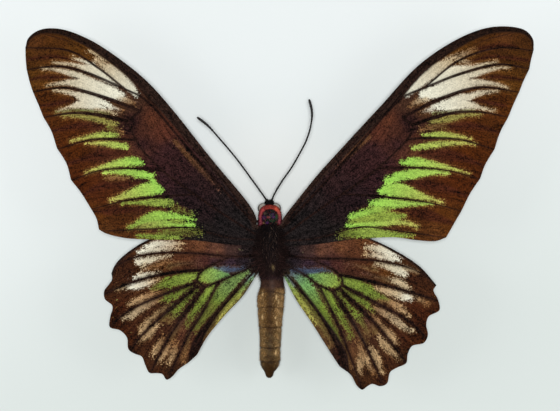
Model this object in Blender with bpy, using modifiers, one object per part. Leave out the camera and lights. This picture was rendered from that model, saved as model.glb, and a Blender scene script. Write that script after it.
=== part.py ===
"""A large birdwing butterfly, a female, set with its wings spread and standing on its six feet, at its real size.

Metres, +Z up. The head points along +Y, the floor is z = 0, and the origin lies on the floor under the middle of
the plan. Tables give millimetres. A plan place is (out, ahead): out is the distance to the side of the body's
axis, and ahead the distance along +Y from the origin. The two sides differ a little, as on the real insect.
"""

import math

import bmesh
import bpy
import numpy as np
from mathutils import Vector
from mathutils.geometry import delaunay_2d_cdt

MM = 0.001
AXIS_X = -3.05
HEAD_ASIDE = -0.22
GAP = 0.3
SIDES = {"right": 1, "left": -1}

# Wing sheet
MEMBRANE = 0.55
VEIN_CREST = 1.15
VEIN_CREST_AT_MARGIN = 0.75
VEIN_HALF_WIDTH = 0.55
RIM_STEP = 1.9
VEIN_STEP = 4.2
FIELD_STEP = 7.0
FIELD_CLEAR = 1.8
SHEET_WELD = 0.02
WING_ROOT_HEIGHT = 12.0
WING_RISE = 0.06
WING_ARCH = 0.7
SPAN_SIDE = 80.0
HINDWING_BELOW = 1.55
HINDWING_DROOP = 0.03
HINDWING_FRONT = -10.0

# Legs, feelers and mouth
FOOT_HEIGHT = 0.26
LEG_RADII = (0.75, 0.6, 0.5, 0.45, 0.36, 0.32, 0.3)
LEG_STEP = 1.9
ANTENNA_RADIUS = 0.26
ANTENNA_CLUB_RADIUS = 0.42
ANTENNA_CLUB_SHARE = 0.2
ANTENNA_STEP = 2.6
PALP_STEP = 0.5
EYE_RADIUS = 1.6
EYE_PLACE = (1.87, 0.05, 8.35)
COIL_TUBE = 0.27
COIL_INNER = 0.45
COIL_PITCH = 0.85
COIL_TURNS = 1.5
COIL_PLACE = (0.6, 4.9)
COIL_STEPS_A_TURN = 14

# The body's lengths: (ahead, half width, half height, height of the centre, how far the centre lies to the right)
HEAD = (
    (2.4, 0.5, 0.5, 8.6, HEAD_ASIDE),
    (2.1, 1.1, 1.2, 8.6, HEAD_ASIDE),
    (1.3, 1.6, 1.8, 8.5, HEAD_ASIDE),
    (0.4, 1.9, 2.1, 8.4, HEAD_ASIDE),
    (-0.4, 1.9, 2.0, 8.4, HEAD_ASIDE),
)
COLLAR = (
    (-0.7, 2.1, 2.1, 8.6, 0.0),
    (-1.4, 3.1, 2.9, 8.7, 0.0),
    (-2.5, 3.6, 3.3, 8.8, 0.0),
    (-3.6, 3.4, 3.3, 9.0, 0.0),
    (-4.2, 3.0, 3.0, 9.0, 0.0),
)
THORAX = (
    (-4.5, 3.1, 3.1, 9.0, 0.0),
    (-5.2, 4.0, 3.9, 9.1, 0.0),
    (-7.2, 4.8, 4.6, 9.2, 0.0),
    (-10.5, 5.3, 5.0, 9.3, 0.0),
    (-14.0, 5.1, 4.9, 9.2, 0.0),
    (-17.2, 4.3, 4.3, 8.9, 0.1),
    (-19.6, 3.6, 3.5, 8.5, 0.3),
    (-20.7, 3.3, 3.0, 8.3, 0.4),
)
ABDOMEN = (
    (-21.0, 3.35, 2.9, 8.2, 0.45),
    (-23.2, 3.55, 3.2, 8.0, 0.7),
    (-24.9, 3.85, 3.5, 7.7, 0.6),
    (-26.8, 4.1, 3.75, 7.5, 0.3),
    (-28.8, 4.05, 3.8, 7.3, 0.2),
    (-30.9, 3.9, 3.7, 7.0, 0.2),
    (-33.4, 3.65, 3.5, 6.8, 0.1),
    (-35.9, 3.45, 3.3, 6.5, 0.1),
    (-38.5, 3.3, 3.15, 6.2, 0.1),
    (-41.0, 3.15, 3.05, 6.0, 0.1),
    (-43.6, 3.1, 3.0, 5.8, 0.0),
    (-45.5, 3.1, 2.9, 5.6, 0.0),
    (-47.4, 2.85, 2.5, 5.4, 0.0),
    (-48.7, 2.3, 2.1, 5.3, -0.05),
    (-50.2, 1.5, 1.5, 5.3, -0.15),
    (-51.2, 0.95, 1.0, 5.3, -0.2),
    (-51.9, 0.45, 0.6, 5.3, -0.25),
)
SEGMENT_JOINTS = (-25.6, -30.2, -36.4, -42.7, -47.0)
JOINT_DEPTH = 0.22
JOINT_HALF_LENGTH = 0.45
BODY_SIDES = 22
BODY_STEP = 1.3
HEAD_STEP = 0.6
COLLAR_STEP = 0.7
FINE_STEP = 0.1

# Wing outlines, each a ring of smooth stretches. The root stretch lies inside the thorax.
WINGS = {
    "fore": {
        "right": {
            "outline": (
                ((3.4, -4.6), (4.2, -2.8), (8.1, 2.3), (14.7, 10.5), (21.3, 17.8), (33.5, 31.0), (45.8, 44.1),
                 (57.9, 52.0), (66.5, 55.1), (74.0, 55.3), (78.0, 54.1), (80.1, 51.5), (80.3, 48.3)),
                ((80.3, 48.3), (79.5, 45.3), (79.0, 42.5)),
                ((79.0, 42.5), (77.2, 38.8), (75.9, 35.5)),
                ((75.9, 35.5), (74.1, 31.6), (72.6, 27.9)),
                ((72.6, 27.9), (70.1, 23.2), (68.4, 18.1)),
                ((68.4, 18.1), (65.6, 13.4), (64.0, 9.1)),
                ((64.0, 9.1), (61.1, 4.8), (58.4, -0.6)),
                ((58.4, -0.6), (56.2, -4.4), (53.7, -8.8)),
                ((53.7, -8.8), (50.6, -9.9), (44.2, -9.6), (38.1, -8.8), (24.4, -9.6), (12.2, -11.1), (3.0, -11.6)),
                ((3.0, -11.6), (2.2, -8.5), (2.4, -6.0), (3.4, -4.6)),
            ),
            "veins": {
                "Sc": ((4.5, -4.4), (15.2, 9.4), (27.4, 22.2), (39.6, 36.0), (48.0, 44.4)),
                "R": ((4.2, -5.6), (16.5, 7.6), (28.0, 20.4), (40.3, 33.7), (47.0, 36.8)),
                "R1": ((30.0, 22.7), (41.5, 36.4), (52.5, 47.6)),
                "R2": ((35.5, 28.7), (48.0, 42.0), (60.0, 51.8)),
                "R3": ((40.3, 33.7), (53.0, 44.0), (64.0, 50.6), (74.0, 53.6)),
                "R4": ((47.0, 36.8), (57.9, 45.3), (70.1, 49.0), (80.6, 48.0)),
                "R5": ((47.0, 36.8), (57.9, 41.0), (70.1, 43.9), (79.6, 42.4)),
                "M1": ((40.6, 27.9), (51.9, 33.4), (64.0, 36.9), (76.6, 35.3)),
                "M2": ((43.3, 25.5), (54.9, 29.0), (64.0, 29.4), (73.3, 27.7)),
                "M3": ((42.1, 21.2), (48.8, 21.5), (57.9, 21.0), (69.0, 17.8)),
                "CuA1": ((32.8, 12.2), (45.8, 12.4), (54.9, 11.4), (64.8, 8.8)),
                "CuA2": ((21.8, 4.5), (36.6, 3.4), (48.8, 1.7), (59.0, -0.9)),
                "1A": ((4.0, -9.9), (12.0, -9.4), (18.3, -8.1), (27.4, -5.6), (39.6, -6.9), (54.2, -9.0)),
                "Cu": ((4.0, -8.4), (15.2, -0.2), (27.4, 8.1), (35.1, 14.2), (42.1, 21.2)),
                "cross": ((42.1, 21.2), (43.6, 25.0), (40.6, 27.9), (40.3, 33.7)),
            },
        },
        "left": {
            "outline": (
                ((4.2, -5.0), (4.2, -2.9), (6.1, 0.8), (18.3, 15.7), (29.2, 29.5), (36.6, 37.9), (43.7, 44.0),
                 (54.9, 51.4), (64.0, 54.7), (70.1, 54.4), (73.6, 51.9), (74.5, 49.0)),
                ((74.5, 49.0), (74.4, 45.5), (74.1, 42.3)),
                ((74.1, 42.3), (73.2, 38.6), (72.2, 35.5)),
                ((72.2, 35.5), (70.6, 31.8), (69.0, 27.8)),
                ((69.0, 27.8), (66.6, 23.6), (64.9, 18.4)),
                ((64.9, 18.4), (62.0, 13.7), (60.6, 8.7)),
                ((60.6, 8.7), (57.5, 4.7), (54.5, -0.1)),
                ((54.5, -0.1), (52.9, -3.0), (52.1, -6.4)),
                ((52.1, -6.4), (50.2, -7.5), (44.2, -9.0), (33.5, -9.5), (24.4, -9.6), (12.2, -11.0), (3.0, -11.4)),
                ((3.0, -11.4), (2.2, -8.5), (2.8, -6.2), (4.2, -5.0)),
            ),
            "veins": {
                "Sc": ((4.9, -3.4), (15.0, 9.4), (24.5, 20.6), (34.0, 32.4), (45.0, 43.0)),
                "R": ((4.8, -4.6), (16.0, 7.8), (27.0, 20.8), (38.4, 33.4), (45.1, 36.8)),
                "R1": ((28.0, 22.0), (38.0, 34.6), (50.0, 46.4)),
                "R2": ((33.0, 27.8), (44.0, 39.4), (57.0, 50.8)),
                "R3": ((38.4, 33.4), (50.0, 43.6), (60.0, 50.4), (69.0, 53.2)),
                "R4": ((43.6, 36.0), (51.9, 42.5), (61.0, 48.0), (75.2, 49.0)),
                "R5": ((45.1, 36.8), (54.9, 41.0), (64.0, 43.3), (74.8, 42.2)),
                "M1": ((39.6, 29.7), (51.9, 34.3), (62.5, 36.8), (73.0, 35.4)),
                "M2": ((43.6, 26.7), (52.0, 28.5), (60.0, 29.1), (69.8, 27.6)),
                "M3": ((40.8, 20.9), (48.8, 21.2), (54.9, 20.9), (65.6, 17.8)),
                "CuA1": ((32.6, 11.4), (42.7, 12.2), (51.9, 11.6), (61.3, 8.2)),
                "CuA2": ((23.0, 4.4), (33.0, 3.6), (43.0, 2.6), (55.2, -0.4)),
                "1A": ((4.0, -9.6), (12.0, -9.0), (18.3, -7.5), (24.4, -5.8), (33.5, -6.1), (52.8, -7.0)),
                "Cu": ((4.6, -7.8), (15.2, -1.1), (24.4, 5.3), (32.6, 11.4), (39.6, 18.8), (43.6, 26.7)),
                "cross": ((43.6, 26.7), (39.6, 29.7), (38.4, 33.4)),
            },
        },
    },
    "hind": {
        "right": {
            "outline": (
                ((3.4, -11.6), (9.0, -8.9), (18.0, -7.0), (26.0, -7.6), (32.3, -9.9), (39.6, -13.6), (45.8, -17.8),
                 (50.8, -23.4)),
                ((50.8, -23.4), (49.9, -24.9), (51.3, -27.9), (51.7, -31.0), (48.4, -33.0), (47.7, -35.5),
                 (48.2, -38.6), (47.0, -41.0), (43.4, -42.0), (42.0, -44.6), (41.6, -47.2), (38.6, -48.7),
                 (36.7, -50.0), (35.7, -53.5), (33.6, -54.3), (31.2, -53.6), (29.4, -54.6), (28.2, -55.4),
                 (26.6, -54.2), (24.7, -50.9), (21.3, -48.3)),
                ((21.3, -48.3), (18.6, -44.2), (12.6, -34.7), (8.0, -27.9), (4.3, -20.9)),
                ((4.3, -20.9), (2.6, -18.0), (2.4, -14.5), (3.4, -11.6)),
            ),
            "veins": {
                "Rs": ((4.4, -14.2), (12.0, -15.2), (24.0, -15.4), (35.1, -16.3), (44.2, -18.8), (50.0, -21.9)),
                "M1": ((21.3, -20.3), (27.4, -21.5), (39.6, -24.6), (52.0, -28.4)),
                "M2": ((22.3, -23.6), (33.5, -29.4), (42.7, -34.6), (48.8, -40.6)),
                "M3": ((21.7, -24.9), (30.5, -33.4), (36.6, -40.4), (42.0, -47.9)),
                "CuA1": ((19.2, -25.4), (24.4, -33.4), (29.0, -41.6), (35.0, -54.6)),
                "CuA2": ((15.0, -23.6), (19.8, -33.4), (23.8, -43.2), (28.4, -55.9)),
                "2A": ((4.6, -19.6), (13.7, -30.3), (19.8, -39.5), (22.4, -45.0), (23.4, -50.8)),
                "Cu": ((4.6, -17.4), (10.1, -19.9), (14.6, -23.3), (19.2, -25.4)),
                "cross": ((12.5, -15.2), (21.3, -20.3), (22.2, -23.2), (19.2, -25.4)),
            },
        },
        "left": {
            "outline": (
                ((3.4, -11.4), (9.0, -8.8), (18.0, -7.0), (26.0, -6.8), (34.0, -8.4), (39.6, -10.8), (45.8, -15.4),
                 (47.6, -17.8), (48.4, -19.8)),
                ((48.4, -19.8), (48.2, -21.6), (49.2, -23.2), (50.6, -25.2), (50.4, -27.6), (48.1, -29.8), (48.8, -33.2),
                 (48.9, -36.2), (45.8, -37.2), (43.7, -39.4), (43.2, -43.0), (41.2, -44.4), (39.2, -45.2),
                 (38.1, -47.8), (36.8, -50.2), (34.6, -50.3), (32.9, -50.6), (31.6, -52.3), (29.9, -51.4),
                 (28.0, -49.2), (25.0, -47.1), (22.3, -44.7)),
                ((22.3, -44.7), (19.2, -39.2), (13.7, -32.5), (8.2, -26.6), (4.4, -20.7)),
                ((4.4, -20.7), (2.6, -18.0), (2.4, -14.5), (3.4, -11.4)),
            ),
            "veins": {
                "Rs": ((4.4, -14.4), (10.0, -14.7), (24.4, -13.6), (35.0, -13.7), (42.7, -15.4), (48.9, -18.7)),
                "M1": ((20.4, -18.8), (30.5, -19.7), (39.6, -21.7), (51.2, -26.2)),
                "M2": ((22.6, -22.6), (30.5, -25.5), (42.7, -31.0), (49.6, -36.4)),
                "M3": ((22.3, -23.7), (29.0, -29.4), (39.6, -39.2), (43.4, -44.8)),
                "CuA1": ((19.9, -24.0), (24.4, -30.0), (29.9, -37.7), (36.9, -50.9)),
                "CuA2": ((15.9, -22.6), (19.8, -30.3), (25.3, -39.2), (31.6, -53.0)),
                "2A": ((4.6, -19.0), (12.2, -27.3), (18.3, -34.6), (22.6, -41.5), (24.3, -47.6)),
                "Cu": ((4.6, -17.2), (9.2, -19.4), (14.6, -22.0), (19.9, -24.0)),
                "cross": ((12.0, -14.6), (20.4, -18.8), (22.4, -21.8), (19.9, -24.0)),
            },
        },
    },
}

# Leg ways from inside the body to the toes: (out, ahead, height)
LEGS = {
    "fore": ((1.8, -3.2, 7.2), (2.6, -3.8, 4.8), (5.2, -3.9, 5.6), (9.2, -2.2, 7.7), (12.4, 0.8, 4.4),
             (14.6, 2.6, 1.0), (15.8, 3.3, FOOT_HEIGHT), (18.6, 4.8, FOOT_HEIGHT)),
    "mid": ((2.2, -8.6, 6.9), (3.4, -8.6, 4.3), (6.8, -8.1, 5.9), (11.2, -7.5, 7.9), (15.0, -7.2, 4.4),
            (17.7, -6.9, 1.0), (19.2, -6.8, FOOT_HEIGHT), (22.8, -6.4, FOOT_HEIGHT)),
    "hind": ((2.2, -14.6, 6.9), (3.4, -15.0, 4.3), (6.6, -16.6, 5.9), (10.6, -18.7, 7.7), (13.9, -21.4, 4.4),
             (16.0, -23.4, 1.0), (17.2, -24.5, FOOT_HEIGHT), (19.8, -27.0, FOOT_HEIGHT)),
}
ANTENNAE = {
    "right": ((0.5, 1.0, 8.8), (0.7, 2.9, 10.2), (1.8, 5.3, 10.8), (3.7, 8.4, 11.3), (6.7, 12.7, 11.9),
              (9.1, 16.9, 12.3), (11.0, 20.6, 12.6), (12.2, 24.2, 12.8), (12.8, 27.9, 13.0), (12.7, 30.3, 13.1),
              (11.9, 33.4, 13.3)),
    "left": ((0.9, 1.0, 8.8), (1.2, 2.6, 10.1), (3.0, 5.3, 10.8), (6.1, 9.6, 11.5), (10.4, 15.4, 12.1),
             (15.3, 21.2, 12.6), (19.2, 25.5, 12.9), (22.3, 27.9, 13.1)),
}
PALP = ((0.55, 0.9, 7.2), (0.7, 2.2, 7.2), (0.72, 2.75, 8.2), (0.66, 2.6, 9.3))
PALP_RADII = (0.4, 0.42, 0.4, 0.25)

COLOURS = {
    "black hair": ((0.012, 0.011, 0.011), 0.85),
    "red hair": ((0.30, 0.035, 0.025), 0.8),
    "brown scale": ((0.16, 0.085, 0.04), 0.6),
    "wing scale": ((0.055, 0.035, 0.022), 0.55),
    "green scale": ((0.12, 0.20, 0.03), 0.45),
    "eye": ((0.05, 0.03, 0.02), 0.2),
    "horn": ((0.01, 0.009, 0.009), 0.4),
}


def clear_scene():
    for thing in list(bpy.data.objects):
        bpy.data.objects.remove(thing, do_unlink=True)


def new_collection(name):
    collection = bpy.data.collections.new(name)
    bpy.context.scene.collection.children.link(collection)
    return collection


def make_materials():
    made = {}
    for name, (colour, roughness) in COLOURS.items():
        material = bpy.data.materials.new(name)
        material.use_nodes = True
        shader = material.node_tree.nodes["Principled BSDF"]
        shader.inputs["Base Color"].default_value = (*colour, 1)
        shader.inputs["Roughness"].default_value = roughness
        material.diffuse_color = (*colour, 1)
        made[name] = material
    return made


def smooth_line(points, step):
    """A curve through the points with a place about every step along it."""
    points = np.array(points, float)
    ends = np.vstack([2 * points[0] - points[1], points, 2 * points[-1] - points[-2]])
    line = [points[0]]
    for before, start, end, after in zip(ends, ends[1:], ends[2:], ends[3:]):
        length = np.linalg.norm(end - start)
        share = math.sqrt(length)
        lead_in = max(math.sqrt(np.linalg.norm(start - before)), 1e-6)
        lead_out = max(math.sqrt(np.linalg.norm(after - end)), 1e-6)
        leaving = (start - before) / lead_in - (end - before) / (lead_in + share) + (end - start) / share
        arriving = (end - start) / share - (after - start) / (share + lead_out) + (after - end) / lead_out
        count = max(1, round(length / step))
        for t in np.arange(1, count + 1) / count:
            line.append(
                (2 * t**3 - 3 * t**2 + 1) * start
                + (t**3 - 2 * t**2 + t) * leaving * share
                + (3 * t**2 - 2 * t**3) * end
                + (t**3 - t**2) * arriving * share
            )
    return np.array(line)


def place(side, out, ahead, height, aside=0.0):
    return Vector((AXIS_X + aside + SIDES.get(side, 0) * out, ahead, height)) * MM


def object_from(name, shape, collection, material=None):
    """A mesh object of a bmesh, its faces turned outwards."""
    bmesh.ops.recalc_face_normals(shape, faces=shape.faces)
    mesh = bpy.data.meshes.new(name)
    shape.to_mesh(mesh)
    shape.free()
    mesh.shade_smooth()
    made = bpy.data.objects.new(name, mesh)
    if material:
        mesh.materials.append(material)
    collection.objects.link(made)
    return made


def loft(name, stations, collection, material):
    """A closed form along the body through rings, flat at both ends."""
    shape = bmesh.new()
    rings = []
    for ahead, half_width, half_height, centre, aside in stations:
        ring = bmesh.ops.create_circle(shape, segments=BODY_SIDES, radius=1)["verts"]
        for corner in ring:
            corner.co = Vector((
                AXIS_X + aside + corner.co.x * half_width,
                ahead,
                centre + corner.co.y * half_height,
            )) * MM
        rings.append(ring)
    for front, rear in zip(rings, rings[1:]):
        for i in range(BODY_SIDES):
            j = (i + 1) % BODY_SIDES
            shape.faces.new((front[i], front[j], rear[j], rear[i]))
    shape.faces.new(rings[0])
    shape.faces.new(rings[-1])
    return object_from(name, shape, collection, material)


def ringed(stations):
    """The abdomen's stations with a shallow groove at each joint between segments."""
    line = smooth_line(stations, BODY_STEP)
    centre = smooth_line(stations, FINE_STEP)
    grooves = []
    for joint in SEGMENT_JOINTS:
        for shift, depth in ((-1, 0), (0, JOINT_DEPTH), (1, 0)):
            ahead = joint + shift * JOINT_HALF_LENGTH
            width, height, *middle = (np.interp(-ahead, -centre[:, 0], column) for column in centre.T[1:])
            grooves.append((ahead, width - depth, height - depth, *middle))
    keep = [row for row in line if min(abs(row[0] - joint) for joint in SEGMENT_JOINTS) > 2 * JOINT_HALF_LENGTH]
    return sorted([tuple(row) for row in keep] + grooves, key=lambda row: -row[0])


def tube(name, points, radii, collection, material, sides=2):
    """A closed round tube along the points, thick as radii say, made a mesh so that it can be cut."""
    curve = bpy.data.curves.new(name, "CURVE")
    curve.dimensions = "3D"
    curve.bevel_depth = MM
    curve.bevel_resolution = sides
    curve.use_fill_caps = True
    line = curve.splines.new("POLY")
    line.points.add(len(points) - 1)
    for corner, where, radius in zip(line.points, points, radii):
        corner.co = (*where, 1)
        corner.radius = radius
    guide = bpy.data.objects.new(name + "_guide", curve)
    collection.objects.link(guide)
    evaluated = guide.evaluated_get(bpy.context.evaluated_depsgraph_get())
    mesh = bpy.data.meshes.new_from_object(evaluated)
    bpy.data.objects.remove(guide, do_unlink=True)
    bpy.data.curves.remove(curve)
    shape = bmesh.new()
    shape.from_mesh(mesh)
    bpy.data.meshes.remove(mesh)
    bmesh.ops.remove_doubles(shape, verts=shape.verts, dist=1e-7)
    return object_from(name, shape, collection, material)


def tapered(radii, count):
    """The radii spread evenly over count places."""
    return np.interp(np.linspace(0, 1, count), np.linspace(0, 1, len(radii)), radii)


def grown(body, by, collection):
    """A hidden copy of a body, larger by a gap all round, that cuts what grows from that body."""
    cutter = bpy.data.objects.new(body.name + "_cutter", body.data)
    cutter.hide_render = True
    cutter.display_type = "WIRE"
    collection.objects.link(cutter)
    swell = cutter.modifiers.new("gap", "DISPLACE")
    swell.mid_level = 0
    swell.strength = by * MM
    return cutter


def cut_by(piece, *cutters):
    for cutter in cutters:
        cut = piece.modifiers.new(cutter.name, "BOOLEAN")
        cut.operation = "DIFFERENCE"
        cut.solver = "EXACT"
        cut.object = cutter


def wing_height(kind, out, ahead):
    """The height of a wing's middle surface: it rises outwards, and the hindwing lies just under the forewing."""
    height = WING_ROOT_HEIGHT + WING_RISE * out + WING_ARCH * np.sin(np.pi * np.clip(out / SPAN_SIDE, 0, 1))
    if kind == "hind":
        height = height - HINDWING_BELOW - HINDWING_DROOP * np.maximum(0, HINDWING_FRONT - ahead)
    return height


def distance_to_line(points, line):
    """Distance from each point to a polyline, and how far along it the nearest place is, from 0 to 1."""
    best = np.full(len(points), np.inf)
    along = np.zeros(len(points))
    for i, (start, end) in enumerate(zip(line, line[1:])):
        run = end - start
        t = np.clip(((points - start) @ run) / (run @ run), 0, 1)
        gap = np.linalg.norm(points - start - t[:, None] * run, axis=1)
        closer = gap < best
        best[closer] = gap[closer]
        along[closer] = (i + t[closer]) / (len(line) - 1)
    return best, along


def sideways(line, shift):
    """The line moved to its side."""
    run = np.gradient(line, axis=0)
    run /= np.linalg.norm(run, axis=1)[:, None]
    return line + shift * np.column_stack([-run[:, 1], run[:, 0]])


def field_points(rim, lines):
    """Evenly spread places inside the rim, clear of the rim and of every line."""
    low, high = rim.min(axis=0), rim.max(axis=0)
    rows = np.arange(low[1], high[1], FIELD_STEP * math.sqrt(3) / 2)
    grid = np.array([
        (out + (row % 2) * FIELD_STEP / 2, ahead)
        for row, ahead in enumerate(rows)
        for out in np.arange(low[0], high[0], FIELD_STEP)
    ])
    closed = np.vstack([rim, rim[:1]])
    inside = np.zeros(len(grid), bool)
    for (x0, y0), (x1, y1) in zip(closed, closed[1:]):
        spans = (y0 > grid[:, 1]) != (y1 > grid[:, 1])
        if spans.any():
            crossing = x0 + (grid[spans, 1] - y0) * (x1 - x0) / (y1 - y0)
            inside[spans] ^= grid[spans, 0] < crossing
    clear = distance_to_line(grid, closed)[0] > FIELD_CLEAR
    for line in lines:
        clear &= distance_to_line(grid, line)[0] > FIELD_CLEAR
    return grid[inside & clear]


def wing(kind, side, collection, material):
    """One wing: a thin sheet in its outline, with each vein raised from both faces as a low ridge."""
    table = WINGS[kind][side]
    stretches = [smooth_line(stretch, RIM_STEP) for stretch in table["outline"]]
    rim = np.vstack([stretch[:-1] for stretch in stretches])
    veins = [smooth_line(points, VEIN_STEP) for points in table["veins"].values()]
    veins.append(stretches[0])
    lines = [sideways(vein, shift) for vein in veins for shift in (-VEIN_HALF_WIDTH, 0, VEIN_HALF_WIDTH)]
    points = list(rim)
    edges = []
    for line in lines:
        edges += [(len(points) + i, len(points) + i + 1) for i in range(len(line) - 1)]
        points += list(line)
    points += list(field_points(rim, lines))
    flat, _, faces, *_ = delaunay_2d_cdt(
        [Vector(point) for point in points], edges, [list(range(len(rim)))], 1, SHEET_WELD
    )
    flat = np.array([tuple(point) for point in flat])
    ridge = np.zeros(len(flat))
    taper = 1 - (VEIN_CREST_AT_MARGIN - MEMBRANE) / (VEIN_CREST - MEMBRANE)
    for vein in veins:
        gap, along = distance_to_line(flat, vein)
        ridge = np.maximum(ridge, (1 - gap / VEIN_HALF_WIDTH) * (1 - taper * along))
    heights = wing_height(kind, flat[:, 0], flat[:, 1])
    shape = bmesh.new()
    corners = [shape.verts.new(place(side, out, ahead, height)) for (out, ahead), height in zip(flat, heights)]
    for face in faces:
        shape.faces.new([corners[i] for i in face])
    bmesh.ops.triangulate(shape, faces=shape.faces)
    made = object_from(f"wing_{kind}_{side}", shape, collection, material)
    ribs = made.vertex_groups.new(name="ribs")
    for index, weight in enumerate(np.clip(ridge, 0, 1)):
        ribs.add([index], float(weight), "REPLACE")
    sheet = made.modifiers.new("thickness", "SOLIDIFY")
    sheet.thickness = VEIN_CREST * MM
    sheet.offset = 0
    sheet.vertex_group = ribs.name
    sheet.thickness_vertex_group = MEMBRANE / VEIN_CREST
    return made


def leg(name, side, way, collection, material):
    """A leg from inside the body to the toes, its sole cut flat on the floor."""
    line = smooth_line(way, LEG_STEP)
    points = [place(side, *where) for where in line]
    made = tube(name, points, tapered(LEG_RADII, len(points)), collection, material)
    shape = bmesh.new()
    shape.from_mesh(made.data)
    everything = shape.verts[:] + shape.edges[:] + shape.faces[:]
    bmesh.ops.bisect_plane(shape, geom=everything, plane_co=(0, 0, 0), plane_no=(0, 0, 1), clear_inner=True)
    bmesh.ops.holes_fill(shape, edges=[edge for edge in shape.edges if edge.is_boundary])
    bmesh.ops.recalc_face_normals(shape, faces=shape.faces)
    shape.to_mesh(made.data)
    shape.free()
    return made


def antenna(side, collection, material):
    line = smooth_line(ANTENNAE[side], ANTENNA_STEP)
    share = np.linspace(0, 1, len(line))
    club = np.clip((share - (1 - ANTENNA_CLUB_SHARE)) / ANTENNA_CLUB_SHARE, 0, 1)
    radii = ANTENNA_RADIUS + (ANTENNA_CLUB_RADIUS - ANTENNA_RADIUS) * np.sin(np.pi * np.minimum(club, 0.8) / 1.6)
    radii[-1] = ANTENNA_RADIUS
    return tube(f"antenna_{side}", [place(side, *where) for where in line], radii, collection, material)


def proboscis(collection, material):
    """The tongue, a flat coil under the head whose outer end runs up to the mouth."""
    ahead, height = COIL_PLACE
    turns = np.linspace(0, COIL_TURNS, round(COIL_TURNS * COIL_STEPS_A_TURN))
    radii = COIL_INNER + COIL_PITCH * turns
    angles = 2 * np.pi * (turns - COIL_TURNS)
    way = [(0, ahead + r * math.cos(a), height + r * math.sin(a)) for r, a in zip(radii, angles)]
    way.append((0, ahead + radii[-1] - 0.1, height + 0.9))
    way.append((0, ahead + radii[-1] - 0.8, height + 2.2))
    way.append((0, ahead + radii[-1] - 1.4, height + 3.2))
    points = [place(None, *where, HEAD_ASIDE) for where in way]
    return tube("proboscis", points, np.full(len(points), COIL_TUBE), collection, material, sides=1)


def eye(side, collection, material):
    shape = bmesh.new()
    bmesh.ops.create_uvsphere(shape, u_segments=18, v_segments=12, radius=EYE_RADIUS * MM)
    bmesh.ops.translate(shape, verts=shape.verts, vec=place(side, *EYE_PLACE, HEAD_ASIDE))
    return object_from(f"eye_{side}", shape, collection, material)


def palp(side, collection, material):
    way = [place(side, *where, HEAD_ASIDE) for where in smooth_line(PALP, PALP_STEP)]
    return tube(f"palp_{side}", way, tapered(PALP_RADII, len(way)), collection, material)


def build():
    clear_scene()
    parts = new_collection("birdwing")
    cutters = new_collection("cutters")
    looks = make_materials()

    head = loft("head", smooth_line(HEAD, HEAD_STEP), parts, looks["black hair"])
    collar = loft("collar", smooth_line(COLLAR, COLLAR_STEP), parts, looks["red hair"])
    thorax = loft("thorax", smooth_line(THORAX, BODY_STEP), parts, looks["black hair"])
    loft("abdomen", ringed(ABDOMEN), parts, looks["brown scale"])
    round_head = grown(head, GAP, cutters)
    round_collar = grown(collar, GAP, cutters)
    round_thorax = grown(thorax, GAP, cutters)

    for side in SIDES:
        cut_by(eye(side, parts, looks["eye"]), round_head, round_collar)
        cut_by(antenna(side, parts, looks["horn"]), round_head)
        cut_by(palp(side, parts, looks["black hair"]), round_head)
        for pair, leg_way in LEGS.items():
            root = round_collar if pair == "fore" else round_thorax
            cut_by(leg(f"leg_{pair}_{side}", side, leg_way, parts, looks["horn"]), root)
        fore = wing("fore", side, parts, looks["wing scale"])
        cut_by(fore, round_thorax, round_collar)
        hind = wing("hind", side, parts, looks["green scale"])
        cut_by(hind, round_thorax)
    cut_by(proboscis(parts, looks["horn"]), round_head)


build()
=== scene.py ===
"""The looks of a large set birdwing butterfly, a female, seen from straight above on a pale floor.

Tables give millimetres. A plan place is (out, ahead): out is the distance to the side of the body's axis, and ahead
the distance along +Y. A stroke is a soft brush mark, a row of (out, ahead, half width), and a wing's markings are
strokes laid on its ground colour. The two sides differ a little, as on the real insect.
"""

import math

import bpy
import numpy as np
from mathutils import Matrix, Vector


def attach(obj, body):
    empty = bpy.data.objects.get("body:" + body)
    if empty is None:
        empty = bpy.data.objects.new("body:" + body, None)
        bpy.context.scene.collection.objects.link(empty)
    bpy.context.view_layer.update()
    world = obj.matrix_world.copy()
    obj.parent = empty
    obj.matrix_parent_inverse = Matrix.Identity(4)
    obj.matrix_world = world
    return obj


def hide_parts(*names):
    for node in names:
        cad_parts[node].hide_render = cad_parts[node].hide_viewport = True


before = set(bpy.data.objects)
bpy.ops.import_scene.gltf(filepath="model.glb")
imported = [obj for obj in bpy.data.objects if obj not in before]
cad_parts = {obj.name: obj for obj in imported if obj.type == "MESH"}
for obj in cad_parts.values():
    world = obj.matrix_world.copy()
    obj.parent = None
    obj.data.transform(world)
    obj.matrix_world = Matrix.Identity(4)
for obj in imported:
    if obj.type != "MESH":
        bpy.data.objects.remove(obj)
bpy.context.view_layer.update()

MM = 0.001
AXIS_X = -3.05
HEAD_ASIDE = -0.22
SIDES = {"right": 1, "left": -1}
BODY = "root"
SEED = 7
FAR = 99.0
OUTSIDE = -9.0  # the depth of a place that no mark reaches
MOST_CUTS = 100  # as many as one subdivision makes
WHOLE_TURN = 2 * math.pi

# Wing sheet
WING_ROOT_HEIGHT = 12.0
WING_RISE = 0.06
WING_ARCH = 0.7
SPAN_SIDE = 80.0
HINDWING_BELOW = 1.55
HINDWING_DROOP = 0.03
HINDWING_FRONT = -10.0
OUTLINE_STEP = 0.4
CUTTER_HALF = 3.0
SHEET_CELL = 0.27
SHEET_WALL = 0.4
SHEET_MERGE = 0.04
SHEET_CREASE = 50
SHEET_HALF = 0.1
SHEET_HALF_AT_RIM = 0.05
RIM_RUN = 1.2
VEIN_RAISED = 0.13
VEIN_HALF = 0.42
VEIN_REACH = 1.5
VEIN_NEAR = 0.25
PLEAT = 0.05
PLEAT_RUN = 3.0
FOLD_HALF = {"fore": 0.14, "hind": 0.3}
COSTAL_FADE = 60

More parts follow.
